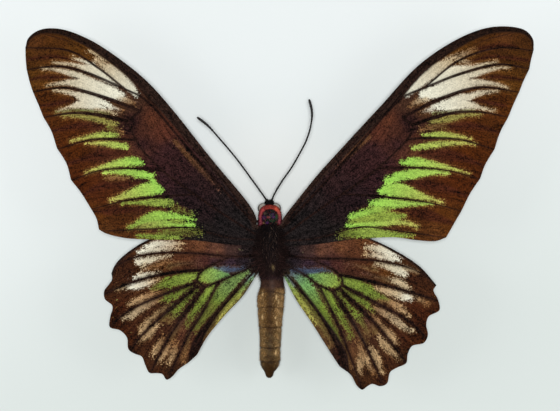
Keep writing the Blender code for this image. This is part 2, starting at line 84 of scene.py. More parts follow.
# Streaks of scales run outwards from a place on the axis, so many to a cell, and differ above and below
FLOW_AHEAD = -6
STREAKS_ACROSS = 22
STREAK_LENGTH = 3
STREAKS_APART = 40.0

# What a wing carries for its finish: three colours, then depths and shares
WING_COLOURS = ("ground", "paint", "costal")
WING_MARKS = ("edge", "dust", "tip", "wedge", "fold", "vein", "band")

WINGS = {
    "fore": {
        "right": {
            "outline": (
                ((3.4, -4.6), (4.2, -2.8), (8.1, 2.3), (14.7, 10.5), (21.3, 17.8), (33.5, 31.0), (45.8, 44.1),
                 (57.9, 52.0), (66.5, 55.1), (74.0, 55.3), (78.0, 54.1), (80.1, 51.5), (80.3, 48.3)),
                ((80.3, 48.3), (79.5, 45.3), (79.0, 42.5)),
                ((79.0, 42.5), (77.2, 38.8), (75.9, 35.5)),
                ((75.9, 35.5), (74.1, 31.6), (72.6, 27.9)),
                ((72.6, 27.9), (70.1, 23.2), (68.4, 18.1)),
                ((68.4, 18.1), (65.6, 13.4), (64.0, 9.1)),
                ((64.0, 9.1), (61.1, 4.8), (58.4, -0.6)),
                ((58.4, -0.6), (56.2, -4.4), (53.7, -8.8)),
                ((53.7, -8.8), (50.6, -9.9), (44.2, -9.6), (38.1, -8.8), (24.4, -9.6), (12.2, -11.1), (3.0, -11.6)),
                ((3.0, -11.6), (2.2, -8.5), (2.4, -6.0), (3.4, -4.6)),
            ),
            "veins": {
                "Sc": ((4.5, -4.4), (15.2, 9.4), (27.4, 22.2), (39.6, 36.0), (48.0, 44.4)),
                "R": ((4.2, -5.6), (16.5, 7.6), (28.0, 20.4), (40.3, 33.7), (47.0, 36.8)),
                "R1": ((30.0, 22.7), (41.5, 36.4), (52.5, 47.6)),
                "R2": ((35.5, 28.7), (48.0, 42.0), (60.0, 51.8)),
                "R3": ((40.3, 33.7), (53.0, 44.0), (64.0, 50.6), (74.0, 53.6)),
                "R4": ((47.0, 36.8), (57.9, 45.3), (70.1, 49.0), (80.6, 48.0)),
                "R5": ((47.0, 36.8), (57.9, 41.0), (70.1, 43.9), (79.6, 42.4)),
                "M1": ((40.6, 27.9), (51.9, 33.4), (64.0, 36.9), (76.6, 35.3)),
                "M2": ((43.3, 25.5), (54.9, 29.0), (64.0, 29.4), (73.3, 27.7)),
                "M3": ((42.1, 21.2), (48.8, 21.5), (57.9, 21.0), (69.0, 17.8)),
                "CuA1": ((32.8, 12.2), (45.8, 12.4), (54.9, 11.4), (64.8, 8.8)),
                "CuA2": ((21.8, 4.5), (36.6, 3.4), (48.8, 1.7), (59.0, -0.9)),
                "1A": ((4.0, -9.9), (12.0, -9.4), (18.3, -8.1), (27.4, -5.6), (39.6, -6.9), (54.2, -9.0)),
                "Cu": ((4.0, -8.4), (15.2, -0.2), (27.4, 8.1), (35.1, 14.2), (42.1, 21.2)),
                "cross": ((42.1, 21.2), (43.6, 25.0), (40.6, 27.9), (40.3, 33.7)),
            },
            "folds": (
                ((52, 25.2, 0.5), (58, 25.2, 1.1), (64, 24.9, 0.7), (70, 23.1, 0.2)),
                ((46, 17, 0.9), (51, 17.2, 1.5), (56, 16, 1.3), (61, 14.6, 0.7), (65, 13, 0.2)),
                ((40, 7.7, 0.2), (44, 7.6, 0.9), (49, 7, 1.2), (53, 6.2, 0.9), (57, 5, 0.5), (60, 3.7, 0.2)),
                ((38, -0.6, 0.2), (42, -0.8, 0.9), (46, -1.5, 1.6), (50, -2.6, 1.2), (54, -4, 0.6), (56.5, -4.7, 0.2)),
                ((60, 32.8, 0.3), (63, 32.6, 0.8), (67, 32, 0.7), (71.5, 31.3, 0.2)),
                ((61, 39.8, 0.2), (65, 40, 0.6), (70, 40, 0.6), (74, 39.7, 0.4), (77.5, 39, 0.15)),
                ((60, 44.5, 0.2), (66, 46, 0.5), (72, 46, 0.5), (79, 45, 0.2)),
                ((62, 48.5, 0.3), (70, 49.6, 0.5), (75, 49.3, 0.2)),
            ),
            "strokes": (
                ("cream", "tan", 0.3, ((41.5, 34.5, 0.4), (44.8, 37.8, 1.4), (48.5, 41.0, 1.9), (52.3, 43.4, 1.5),
                                       (55, 45, 0.7))),
                ("tan", "umber", 0.8, ((54, 45.2, 0.5), (58, 46.6, 0.7), (62, 48, 0.3))),
                ("cream", "tan", 0.25, ((48.3, 37.6, 0.25), (51.5, 39.4, 1.0), (55.5, 41.8, 1.5), (58.5, 42.5, 1.0),
                                        (62, 43.1, 0.5), (66, 44.1, 0.35), (69, 44.6, 0.2))),
                ("tan", "umber", 0.8, ((57, 45, 0.3), (60, 44.6, 0.5), (62, 43.6, 0.2))),
                ("cream", "tan", 0.2, ((46.8, 34.9, 1.2), (51, 36.3, 1.4), (56, 38.6, 1.5), (61, 40.5, 1.0),
                                       (65.5, 41.9, 0.6), (70, 42.9, 0.3), (73, 42.9, 0.15))),
                ("cream", "tan", 0.2, ((46.8, 34.3, 1.1), (52, 35.3, 1.3), (58, 37.6, 1.6), (63, 38.3, 1.0),
                                       (67, 38.1, 0.6), (71, 37.2, 0.35), (72.5, 36.7, 0.2))),
                ("cream", "tan", 0.3, ((50.5, 31.3, 0.5), (54.5, 32, 1.4), (58.5, 32.9, 1.9), (61.5, 34.4, 0.8),
                                       (65, 35.4, 0.6), (69.5, 35.8, 0.25))),
                ("cream", "tan", 0.35, ((52, 30.5, 0.6), (56.5, 31.2, 1.3), (60.5, 31.6, 1.2), (64, 30.7, 0.5),
                                        (68.3, 29.9, 0.2))),
                ("moss", "moss", 0.5, ((50, 29.2, 0.2), (56, 29.9, 0.25), (62, 29.9, 0.15))),
                ("hay", "hay", 0.5, ((49, 26.2, 0.35), (52.5, 26.9, 0.65), (56, 27.6, 0.7), (59.5, 28.4, 0.4),
                                     (64, 28.8, 0.2))),
                ("umber", "earth", 1.0, ((46, 23.8, 0.2), (49, 24.6, 0.4), (53, 25.2, 0.3))),
                ("lime", "straw", 0.4, ((46.8, 22.2, 0.25), (50, 22.5, 0.65), (54, 22.3, 0.75), (58, 21.8, 0.5),
                                        (61, 21.2, 0.2))),
                ("lime", "straw", 0.4, ((43.5, 18.4, 0.3), (47, 18.9, 0.7), (51.5, 19.6, 0.75), (56, 19.9, 0.55),
                                        (60, 20, 0.3), (62.5, 19.7, 0.15))),
                ("green", "straw", 0.35, ((40.5, 14, 0.6), (43.5, 14.2, 1.3), (47, 13.8, 1.1), (51, 13.1, 0.7),
                                          (55, 12.3, 0.4), (58, 11.4, 0.25), (60.5, 10.6, 0.15))),
                ("green", "lime", 0.4, ((36.3, 8.6, 1.0), (39, 9.6, 1.3), (42.5, 10.4, 1.4), (46.5, 10.9, 1.1),
                                        (50.5, 11.1, 0.7), (54.5, 10.9, 0.3))),
                ("green", "straw", 0.4, ((33.8, 5.2, 0.7), (36.5, 5.8, 2.0), (40, 5.5, 2.0), (43.5, 4.5, 1.4),
                                         (47, 3.4, 0.8), (50, 2.5, 0.4), (52.5, 1.8, 0.2))),
                ("green", "lime", 0.35, ((31, 1.6, 0.7), (34, 1.6, 1.4), (38, 1.4, 1.2), (42, 1.5, 0.8),
                                         (46, 1.5, 0.5), (49.5, 1.5, 0.2))),
                ("green", "olive", 0.4, ((24.8, -2.6, 0.7), (28, -1.6, 1.1), (32, -0.6, 1.2), (36, 0, 1.0))),
                ("olive", "olive", 0.4, ((25, -4, 0.9), (30, -3.2, 1.4), (35, -2.6, 1.6), (39, -2.4, 0.9),
                                         (41, -2.2, 0.4))),
                ("green", "straw", 0.4, ((23.8, -5.2, 0.5), (29, -4.8, 0.8), (34, -4.5, 0.9), (38.5, -4.1, 0.8),
                                         (42, -4.5, 0.5), (45, -5.6, 0.4))),
                ("moss", "fern", 0.5, ((21.5, -8, 0.6), (24, -7.6, 1.1), (27, -7.5, 1.3))),
                ("leaf", "leaf", 0.45, ((27, -7.5, 1.3), (30, -7.5, 1.4), (35, -7.9, 1.2), (39.5, -8.2, 0.8),
                                        (43, -8.2, 0.4))),
                ("rust", "rust", 0.65, ((20, 12.2, -0.4), (25, 17.4, -0.1), (30, 21.8, -0.2))),
                ("umber", "tan", 0.5, ((42.5, 31.2, 0.2), (45, 32.5, 0.6), (47.5, 33.7, 1.0))),
                ("umber", "cream", 0.5, ((45.7, 29.1, 0.0), (48.2, 30, 0.4), (51, 31, 0.9))),
            ),
        },
        "left": {
            "outline": (
                ((4.2, -5.0), (4.2, -2.9), (6.1, 0.8), (18.3, 15.7), (29.2, 29.5), (36.6, 37.9), (43.7, 44.0),
                 (54.9, 51.4), (64.0, 54.7), (70.1, 54.4), (73.6, 51.9), (74.5, 49.0)),
                ((74.5, 49.0), (74.4, 45.5), (74.1, 42.3)),
                ((74.1, 42.3), (73.2, 38.6), (72.2, 35.5)),
                ((72.2, 35.5), (70.6, 31.8), (69.0, 27.8)),
                ((69.0, 27.8), (66.6, 23.6), (64.9, 18.4)),
                ((64.9, 18.4), (62.0, 13.7), (60.6, 8.7)),
                ((60.6, 8.7), (57.5, 4.7), (54.5, -0.1)),
                ((54.5, -0.1), (52.9, -3.0), (52.1, -6.4)),
                ((52.1, -6.4), (50.2, -7.5), (44.2, -9.0), (33.5, -9.5), (24.4, -9.6), (12.2, -11.0), (3.0, -11.4)),
                ((3.0, -11.4), (2.2, -8.5), (2.8, -6.2), (4.2, -5.0)),
            ),
            "veins": {
                "Sc": ((4.9, -3.4), (15.0, 9.4), (24.5, 20.6), (34.0, 32.4), (45.0, 43.0)),
                "R": ((4.8, -4.6), (16.0, 7.8), (27.0, 20.8), (38.4, 33.4), (45.1, 36.8)),
                "R1": ((28.0, 22.0), (38.0, 34.6), (50.0, 46.4)),
                "R2": ((33.0, 27.8), (44.0, 39.4), (57.0, 50.8)),
                "R3": ((38.4, 33.4), (50.0, 43.6), (60.0, 50.4), (69.0, 53.2)),
                "R4": ((43.6, 36.0), (51.9, 42.5), (61.0, 48.0), (75.2, 49.0)),
                "R5": ((45.1, 36.8), (54.9, 41.0), (64.0, 43.3), (74.8, 42.2)),
                "M1": ((39.6, 29.7), (51.9, 34.3), (62.5, 36.8), (73.0, 35.4)),
                "M2": ((43.6, 26.7), (52.0, 28.5), (60.0, 29.1), (69.8, 27.6)),
                "M3": ((40.8, 20.9), (48.8, 21.2), (54.9, 20.9), (65.6, 17.8)),
                "CuA1": ((32.6, 11.4), (42.7, 12.2), (51.9, 11.6), (61.3, 8.2)),
                "CuA2": ((23.0, 4.4), (33.0, 3.6), (43.0, 2.6), (55.2, -0.4)),
                "1A": ((4.0, -9.6), (12.0, -9.0), (18.3, -7.5), (24.4, -5.8), (33.5, -6.1), (52.8, -7.0)),
                "Cu": ((4.6, -7.8), (15.2, -1.1), (24.4, 5.3), (32.6, 11.4), (39.6, 18.8), (43.6, 26.7)),
                "cross": ((43.6, 26.7), (39.6, 29.7), (38.4, 33.4)),
            },
            "folds": (
                ((58, 39.6, 0.3), (61, 40, 0.5), (66, 39.9, 0.6), (70, 39.9, 0.4), (73, 39.2, 0.15)),
                ((50, 25.4, 0.6), (54, 25.6, 1.0), (59, 25.1, 0.9), (64, 24.2, 0.5), (67.1, 23.6, 0.2)),
                ((44, 16.9, 0.9), (49, 16.9, 1.4), (53, 16, 1.2), (58, 14.8, 0.6), (62.8, 13.3, 0.2)),
                ((40, 7.7, 0.3), (43, 7.9, 0.9), (47, 7.5, 1.1), (52, 6.6, 0.8), (55, 5.3, 0.4), (58, 3.5, 0.2)),
                ((32, 0, 0.3), (36.6, 0.4, 0.7), (42.7, 0.2, 1.2), (47.3, -0.3, 1.3), (51, -0.8, 0.6), (54, -1, 0.2)),
                ((58, 32.8, 0.3), (61, 32.6, 0.7), (65, 32, 0.6), (69.5, 31.3, 0.2)),
                ((58, 44.7, 0.2), (64, 46, 0.5), (69, 46, 0.4), (74, 45.4, 0.2)),
            ),
            "strokes": (
                ("cream", "tan", 0.3, ((40.6, 34.6, 0.5), (43, 37.4, 1.3), (45.6, 39.6, 1.7), (49, 42.4, 1.6),
                                       (51.3, 44.1, 0.9))),
                ("tan", "tan", 0.7, ((50.5, 45, 0.35), (53, 46.9, 0.35), (54.8, 48.1, 0.15))),
                ("umber", "tan", 0.8, ((50, 44, 0.5), (53, 45, 0.5))),
                ("cream", "tan", 0.25, ((46.6, 37.4, 0.2), (49.5, 39.3, 0.8), (52, 41.1, 1.2), (54.5, 42.5, 1.3),
                                        (57, 43, 0.7), (60, 43.8, 0.35), (66, 44.4, 0.2))),
                ("cream", "tan", 0.4, ((54, 43.7, 0.4), (57, 44.9, 0.3), (60, 46, 0.15))),
                ("cream", "tan", 0.2, ((45.3, 34.4, 1.0), (49, 35.9, 1.5), (54, 37.8, 1.6), (58.5, 40.4, 1.0),
                                       (62.5, 41.7, 0.6), (66.5, 42.5, 0.3), (69.5, 42.6, 0.15))),
                ("cream", "tan", 0.2, ((46, 34.2, 1.0), (51, 35.5, 1.3), (56, 37.4, 1.6), (60, 38.3, 1.0),
                                       (64, 38.1, 0.5), (68, 37.4, 0.15))),
                ("cream", "tan", 0.3, ((49.5, 31.8, 0.5), (53, 32.8, 1.2), (56.5, 33.6, 1.5), (59.5, 34.9, 0.7),
                                       (63, 35.7, 0.4), (66, 36, 0.2))),
                ("cream", "tan", 0.35, ((50.5, 30.9, 0.5), (54, 31.5, 1.2), (57.5, 31.9, 1.4), (60.5, 30.9, 0.5),
                                        (64.5, 29.8, 0.2))),
                ("tan", "tan", 0.5, ((47, 28.9, 0.15), (50, 29.7, 0.3), (53, 30.4, 0.5))),
                ("moss", "moss", 0.4, ((49, 29.1, 0.3), (55, 29.9, 0.35), (61, 30, 0.3), (65, 29.4, 0.2))),
                ("hay", "hay", 0.5, ((47, 25.6, 0.4), (50.5, 26.6, 0.7), (54.5, 27.5, 0.6), (58.5, 28.2, 0.4),
                                     (63, 28.4, 0.2))),
                ("umber", "moss", 0.9, ((46, 23.5, 0.4), (49, 24.6, 0.5))),
                ("lime", "straw", 0.4, ((47, 22.4, 0.4), (50, 22.5, 0.7), (53.5, 22.1, 0.6), (57, 21.4, 0.35),
                                        (60.5, 20.5, 0.2))),
                ("lime", "straw", 0.3, ((44, 18.9, 0.5), (47, 19.4, 0.8), (50.5, 19.8, 0.6), (54, 20, 0.3),
                                        (56, 19.9, 0.15))),
                ("green", "straw", 0.35, ((39.3, 14, 0.6), (42, 14.3, 1.3), (45.5, 13.9, 1.1), (49, 13.1, 0.8),
                                          (52.5, 12.1, 0.4), (56, 11, 0.2))),
                ("green", "lime", 0.4, ((36, 9.8, 0.7), (39, 10.4, 1.1), (42.5, 11, 1.0), (46.5, 11.2, 0.6),
                                        (50.5, 11.2, 0.3))),
                ("umber", "umber", 0.8, ((42, 9.6, 0.15), (45.5, 9.4, 0.2), (49, 9.3, 0.1))),
                ("green", "straw", 0.4, ((33.2, 5.5, 0.6), (35.8, 6.1, 2.0), (39, 5.5, 1.7), (42.5, 4.4, 1.2),
                                         (45.5, 3.4, 0.7), (48.5, 2.4, 0.3))),
                ("green", "green", 0.4, ((35.5, 7.4, 0.8), (36.2, 9.4, 0.7))),
                ("leaf", "olive", 0.4, ((30.5, 1.7, 0.7), (33.5, 1.8, 1.1), (37, 1.8, 0.8), (40.5, 1.8, 0.5),
                                        (45, 1.6, 0.3))),
                ("green", "leaf", 0.4, ((24, -3.2, 0.5), (27, -2.6, 0.7), (31, -2.4, 1.0), (35, -2.5, 1.6),
                                        (38, -3.5, 1.3), (40.5, -4.8, 0.8), (43, -5.9, 0.4))),
                ("green", "hay", 0.4, ((23.8, -4.9, 0.6), (28, -5.1, 0.4), (31.5, -4.4, 1.0), (36, -4.7, 1.2),
                                       (40, -5.6, 0.7))),
                ("olive", "olive", 0.4, ((26.5, -4, 0.6), (30, -3.8, 0.5))),
                ("moss", "moss", 0.9, ((29, 0, 0.5), (26, -1.4, 0.5), (24, -2.4, 0.4))),
                ("moss", "moss", 0.8, ((21.8, -7, 0.4), (25, -7.1, 0.6), (29, -7.4, 0.9), (33, -7.4, 0.7))),
                ("leaf", "fern", 0.5, ((28, -8.5, 0.5), (32, -8.6, 0.8), (36, -8.6, 0.6), (40, -8.4, 0.4))),
                ("rust", "rust", 0.7, ((15, 5.4, -0.4), (19, 9.8, -0.2), (24, 15, -0.1), (29, 20.5, -0.4))),
                ("umber", "tan", 0.5, ((41.5, 31.8, 0.2), (43.7, 33, 0.6), (46, 34.1, 0.9))),
                ("umber", "cream", 0.5, ((45, 29.8, 0.0), (47.5, 30.5, 0.4), (50, 31.5, 0.9))),
            ),
        },
    },
    "hind": {
        "right": {
            "outline": (
                ((3.4, -11.6), (9.0, -8.9), (18.0, -7.0), (26.0, -7.6), (32.3, -9.9), (39.6, -13.6), (45.8, -17.8),
                 (50.8, -23.4)),
                ((50.8, -23.4), (49.9, -24.9), (51.3, -27.9), (51.7, -31.0), (48.4, -33.0), (47.7, -35.5),
                 (48.2, -38.6), (47.0, -41.0), (43.4, -42.0), (42.0, -44.6), (41.6, -47.2), (38.6, -48.7),
                 (36.7, -50.0), (35.7, -53.5), (33.6, -54.3), (31.2, -53.6), (29.4, -54.6), (28.2, -55.4),
                 (26.6, -54.2), (24.7, -50.9), (21.3, -48.3)),
                ((21.3, -48.3), (18.6, -44.2), (12.6, -34.7), (8.0, -27.9), (4.3, -20.9)),
                ((4.3, -20.9), (2.6, -18.0), (2.4, -14.5), (3.4, -11.6)),
            ),
            "veins": {
                "Rs": ((4.4, -14.2), (12.0, -15.2), (24.0, -15.4), (35.1, -16.3), (44.2, -18.8), (50.0, -21.9)),
                "M1": ((21.3, -20.3), (27.4, -21.5), (39.6, -24.6), (52.0, -28.4)),
                "M2": ((22.3, -23.6), (33.5, -29.4), (42.7, -34.6), (48.8, -40.6)),
                "M3": ((21.7, -24.9), (30.5, -33.4), (36.6, -40.4), (42.0, -47.9)),
                "CuA1": ((19.2, -25.4), (24.4, -33.4), (29.0, -41.6), (35.0, -54.6)),
                "CuA2": ((15.0, -23.6), (19.8, -33.4), (23.8, -43.2), (28.4, -55.9)),
                "2A": ((4.6, -19.6), (13.7, -30.3), (19.8, -39.5), (22.4, -45.0), (23.4, -50.8)),
                "Cu": ((4.6, -17.4), (10.1, -19.9), (14.6, -23.3), (19.2, -25.4)),
                "cross": ((12.5, -15.2), (21.3, -20.3), (22.2, -23.2), (19.2, -25.4)),
            },
            "folds": (
                ((8, -22.5, 0.5), (13, -29, 0.7), (17, -35, 0.8), (20, -40, 0.8), (22, -46, 0.6)),
            ),
            "strokes": (
                ("tan", "cream", 0.5, ((29.3, -11.8, 0.4), (32, -12.2, 0.9), (34.5, -12.9, 1.1), (37, -13.9, 0.8),
                                       (38.9, -14.8, 0.3))),
                ("sand", "cream", 0.5, ((29, -14, 0.3), (32, -14.2, 0.7), (35, -14.7, 0.8), (38, -15.4, 0.7),
                                        (39.7, -15.7, 0.3))),
                ("tan", "chalk", 0.5, ((32.4, -16.9, 0.2), (35, -17.4, 0.6), (37.5, -18.2, 1.0), (39.7, -19.1, 1.4),
                                       (40.7, -19.8, 1.0))),
                ("tan", "sand", 0.35, ((40.5, -18.3, 0.6), (42.5, -18.5, 0.5), (45, -19.3, 0.15))),
                ("tan", "tan", 0.5, ((36.5, -21.6, 0.3), (38.6, -22.2, 0.9), (40.3, -23, 1.0), (41.8, -24.1, 0.5),
                                     (42.5, -24.7, 0.2))),
                ("rust", "earth", 0.9, ((29, -19.7, 0.3), (33, -21, 0.4), (36.5, -22, 0.5))),
                ("rust", "earth", 0.9, ((24, -17, 0.1), (28, -17.8, 0.2), (32, -18.6, 0.2))),
                ("sand", "tan", 0.6, ((32.5, -24.3, 0.5), (35.5, -25.1, 0.9), (38, -25.9, 1.0), (39.5, -26.3, 1.1))),
                ("tan", "cream", 0.4, ((38.5, -26.2, 0.9), (41, -26.9, 1.0), (43, -27.3, 0.6))),
                ("sand", "umber", 0.6, ((43, -26.9, 0.5), (45.5, -27.7, 0.4), (48, -28.9, 0.3))),
                ("umber", "sand", 0.7, ((33.5, -27.9, 0.4), (36.5, -28.6, 0.7), (39, -29.9, 0.8), (41, -31.6, 0.7),
                                        (42, -33, 0.3))),
                ("umber", "tan", 0.6, ((30.5, -30, 0.3), (33, -30.9, 0.5), (36, -32.5, 0.8), (39, -34.7, 0.9),
                                       (41.5, -36.5, 0.7), (43.5, -37.4, 0.3))),
                ("umber", "sand", 0.6, ((31, -32.6, 0.3), (33, -34.5, 0.4), (35, -36.8, 0.6), (37, -38.9, 0.9),
                                        (38, -40.3, 0.6), (38.4, -41.3, 0.2))),
                ("sand", "sand", 0.6, ((33.6, -39.4, 0.4), (34.8, -41.3, 1.1), (36.6, -43.1, 1.0),
                                       (38.3, -44.8, 0.5), (39.5, -46, 0.2))),
                ("sand", "sand", 0.6, ((30.6, -42.8, 0.4), (31.9, -44.4, 1.0), (32.8, -46.3, 0.9),
                                       (33.5, -48.2, 0.5), (34.2, -50, 0.2))),
                ("umber", "sand", 0.6, ((26.8, -40.5, 0.3), (28, -43.5, 0.8), (28.2, -46, 1.5), (27.4, -48.3, 0.9),
                                        (27.3, -50.3, 0.3))),
                ("sand", "umber", 0.6, ((29.3, -46, 0.7), (30.3, -48.2, 0.4), (31.8, -50.3, 0.3))),
                ("earth", "umber", 0.8, ((22, -41, 0.5), (23.2, -44.5, 0.5), (24.3, -48.3, 0.3))),
                ("rust", "earth", 0.9, ((25, -34, 0.4), (27.5, -38.5, 0.5), (29, -41, 0.3))),
                ("rust", "earth", 0.9, ((29.5, -34.5, 0.5), (32, -37.5, 0.5))),
                ("sea", "leaf", 0.4, ((12, -20.4, 0.5), (14.5, -21, 1.3), (17, -21.6, 2.1), (19.2, -22.3, 2.0),
                                      (20.4, -23.2, 1.0))),
                ("blue", "blue", 0.6, ((7, -18.9, 0.5), (10, -19.3, 0.9), (13, -19.3, 0.9), (16, -19, 0.6),
                                        (18.5, -19.3, 0.3))),
                ("leaf", "fern", 0.5, ((21.8, -21.3, 0.6), (24, -22.4, 1.4), (27, -23.6, 1.6), (30, -25, 1.5))),
                ("fern", "moss", 0.9, ((30, -25.2, 1.4), (33, -26.6, 1.0), (36, -28.2, 0.5))),
                ("moss", "fern", 0.6, ((22.8, -25.1, 0.3), (25, -26.4, 0.6), (27.5, -28, 0.8), (29.5, -29.3, 0.7),
                                       (31.7, -31.2, 0.3))),
                ("moss", "fern", 0.8, ((20.8, -25.6, 0.3), (23, -28.4, 0.5), (25, -30.8, 0.6), (26.8, -33, 0.5))),
                ("moss", "earth", 0.9, ((26.8, -33.2, 0.6), (28.5, -35.5, 0.5), (29.8, -38, 0.3))),
                ("leaf", "fern", 0.6, ((15.9, -24.5, 0.6), (17.8, -26.8, 1.3), (19.6, -29.8, 1.1))),
                ("fern", "moss", 0.9, ((19.6, -29.8, 1.1), (21.6, -32.8, 0.8), (23.5, -36, 0.6), (25, -39.3, 0.3))),
                ("slate", "sea", 0.5, ((6.8, -19.9, 0.4), (8.8, -21.2, 1.2), (10.8, -23.3, 1.7))),
                ("sea", "fern", 0.5, ((10.8, -23.3, 1.7), (13, -26.8, 1.7), (15.4, -30.6, 1.5))),
                ("fern", "moss", 0.6, ((15.4, -30.6, 1.5), (17.6, -34.2, 1.1), (19.6, -37.6, 0.8), (21.3, -41, 0.3))),
                ("sea", "yolk", 0.5, ((4.9, -21.2, 0.3), (6.6, -24, 0.6), (8.4, -26.7, 0.7))),
                ("yolk", "straw", 0.5, ((8.4, -26.7, 0.7), (10.7, -30.1, 0.7), (12.6, -33.2, 0.5), (14, -35.2, 0.2))),
                ("moss", "earth", 0.6, ((8, -24.6, 0.3), (11, -28.9, 0.4), (14, -33.2, 0.5), (17, -38, 0.6),
                                        (19, -41.2, 0.3))),
                # A painted highlight, a glint along the 2A vein near the root
                ("painted_glint", "painted_glint", 0.1, ((5.2, -20.5, 0.1), (6.4, -22, 0.16), (7.6, -23.5, 0.08))),
            ),
        },
        "left": {
            "outline": (
                ((3.4, -11.4), (9.0, -8.8), (18.0, -7.0), (26.0, -6.8), (34.0, -8.4), (39.6, -10.8), (45.8, -15.4),
                 (47.6, -17.8), (48.4, -19.8)),
                ((48.4, -19.8), (48.2, -21.6), (49.2, -23.2), (50.6, -25.2), (50.4, -27.6), (48.1, -29.8),
                 (48.8, -33.2), (48.9, -36.2), (45.8, -37.2), (43.7, -39.4), (43.2, -43.0), (41.2, -44.4),
                 (39.2, -45.2), (38.1, -47.8), (36.8, -50.2), (34.6, -50.3), (32.9, -50.6), (31.6, -52.3),
                 (29.9, -51.4), (28.0, -49.2), (25.0, -47.1), (22.3, -44.7)),
                ((22.3, -44.7), (19.2, -39.2), (13.7, -32.5), (8.2, -26.6), (4.4, -20.7)),
                ((4.4, -20.7), (2.6, -18.0), (2.4, -14.5), (3.4, -11.4)),
            ),
            "veins": {
                "Rs": ((4.4, -14.4), (10.0, -14.7), (24.4, -13.6), (35.0, -13.7), (42.7, -15.4), (48.9, -18.7)),
                "M1": ((20.4, -18.8), (30.5, -19.7), (39.6, -21.7), (51.2, -26.2)),
                "M2": ((22.6, -22.6), (30.5, -25.5), (42.7, -31.0), (49.6, -36.4)),
                "M3": ((22.3, -23.7), (29.0, -29.4), (39.6, -39.2), (43.4, -44.8)),
                "CuA1": ((19.9, -24.0), (24.4, -30.0), (29.9, -37.7), (36.9, -50.9)),
                "CuA2": ((15.9, -22.6), (19.8, -30.3), (25.3, -39.2), (31.6, -53.0)),
                "2A": ((4.6, -19.0), (12.2, -27.3), (18.3, -34.6), (22.6, -41.5), (24.3, -47.6)),
                "Cu": ((4.6, -17.2), (9.2, -19.4), (14.6, -22.0), (19.9, -24.0)),
                "cross": ((12.0, -14.6), (20.4, -18.8), (22.4, -21.8), (19.9, -24.0)),
            },
            "folds": (
                ((8, -21.8, 0.4), (13.5, -28, 0.6), (18, -33.2, 0.7), (21.5, -38.3, 0.8), (24.5, -44.5, 0.6)),
            ),
            "strokes": (
                ("sand", "cream", 0.5, ((26.5, -10.7, 0.3), (29.5, -10.7, 0.7), (32.5, -10.8, 0.9),
                                        (35.5, -11.1, 0.9), (38.2, -11.8, 0.4))),
                ("sand", "cream", 0.5, ((27, -12.2, 0.2), (30, -12.1, 0.5), (33, -12.3, 0.7), (36, -12.5, 0.8),
                                        (38.5, -13, 0.6), (40, -13.4, 0.2))),
                ("tan", "chalk", 0.6, ((30.5, -14.5, 0.1), (33, -14.8, 0.3), (35.5, -15.3, 0.7), (37.8, -15.9, 1.1),
                                       (39.7, -16.2, 1.2))),
                ("tan", "tan", 0.4, ((38.2, -16.6, 0.8), (39.1, -17.6, 0.4))),
                ("rust", "earth", 0.9, ((22, -16.6, 0.2), (27, -17, 0.4), (31, -17.5, 0.3))),
                ("umber", "umber", 0.9, ((31.5, -16, 0.4), (34.5, -17.2, 0.6), (37, -18.2, 0.4))),
                ("tan", "cream", 0.5, ((33.5, -19.3, 0.2), (36, -19.9, 0.4), (38.2, -20.3, 0.7), (40, -20.7, 0.7),
                                       (41.5, -21.2, 0.2))),
                ("tan", "tan", 0.6, ((39.3, -19.4, 0.3), (39.5, -20.3, 0.5))),
                ("sand", "cream", 0.5, ((34.2, -21.7, 0.3), (36.5, -22.4, 0.7), (39, -23.2, 0.9), (41.3, -23.8, 0.9),
                                        (43.3, -23.9, 0.5))),
                ("tan", "sand", 0.6, ((43, -23.9, 0.5), (45, -24.3, 0.3), (46.5, -24.7, 0.15))),
                ("umber", "sand", 0.7, ((33.5, -25.5, 0.3), (36, -26.3, 0.5), (38.5, -27.2, 0.7), (41, -28.4, 0.7),
                                        (42.8, -29.2, 0.3))),
                ("umber", "tan", 0.6, ((33, -27.3, 0.4), (35.5, -28.3, 0.7), (38, -29.7, 0.9), (40.5, -31.3, 0.9),
                                       (42.8, -32.8, 0.9), (44.6, -33.7, 0.3))),
                ("earth", "sand", 0.6, ((31, -29.6, 0.3), (33.5, -31.3, 0.5), (35.8, -33.2, 0.5),
                                        (37.8, -35.2, 0.8), (39, -36.8, 0.8), (39.6, -38, 0.2))),
                ("sand", "sand", 0.6, ((34.6, -35.4, 0.3), (36, -37, 0.8), (37.2, -38.6, 0.9), (38.6, -39.9, 0.5),
                                       (39.6, -40.6, 0.2))),
                ("umber", "sand", 0.6, ((32.4, -39.2, 0.3), (33.6, -41, 0.8), (34.7, -42.8, 0.8), (35.6, -44.6, 0.3))),
                ("umber", "sand", 0.7, ((29.8, -40.6, 0.3), (31, -42.3, 0.6), (32, -44, 0.6), (33.5, -46.3, 0.25))),
                ("umber", "sand", 0.7, ((28.6, -41.5, 0.3), (29.3, -43.6, 0.9), (30, -45.4, 0.7), (30.5, -46.8, 0.3))),
                ("earth", "umber", 0.8, ((24.7, -39, 0.3), (25.5, -42, 0.4), (26.6, -46, 0.2))),
                ("rust", "earth", 0.9, ((26, -33, 0.4), (28.5, -37, 0.5), (30, -39.5, 0.3))),
                ("sea", "leaf", 0.4, ((12.8, -20.4, 0.4), (14.8, -20.2, 1.1), (17.3, -20.3, 2.0), (19.6, -20.8, 2.0),
                                      (21, -21.7, 1.0))),
                ("blue", "blue", 0.6, ((8, -18.5, 0.4), (10.5, -18.7, 0.6), (12.5, -18.8, 0.7))),
                ("blue", "slate", 0.6, ((12.5, -18.8, 0.7), (14, -18.7, 0.8), (15.5, -18.4, 0.5), (17, -18, 0.2))),
                ("leaf", "fern", 0.5, ((22.6, -20.4, 0.7), (25, -21, 1.4), (28, -21.8, 1.5), (31, -22.7, 1.4))),
                ("fern", "moss", 0.9, ((31, -22.9, 1.3), (33.5, -23.6, 0.9), (35.5, -24.3, 0.4))),
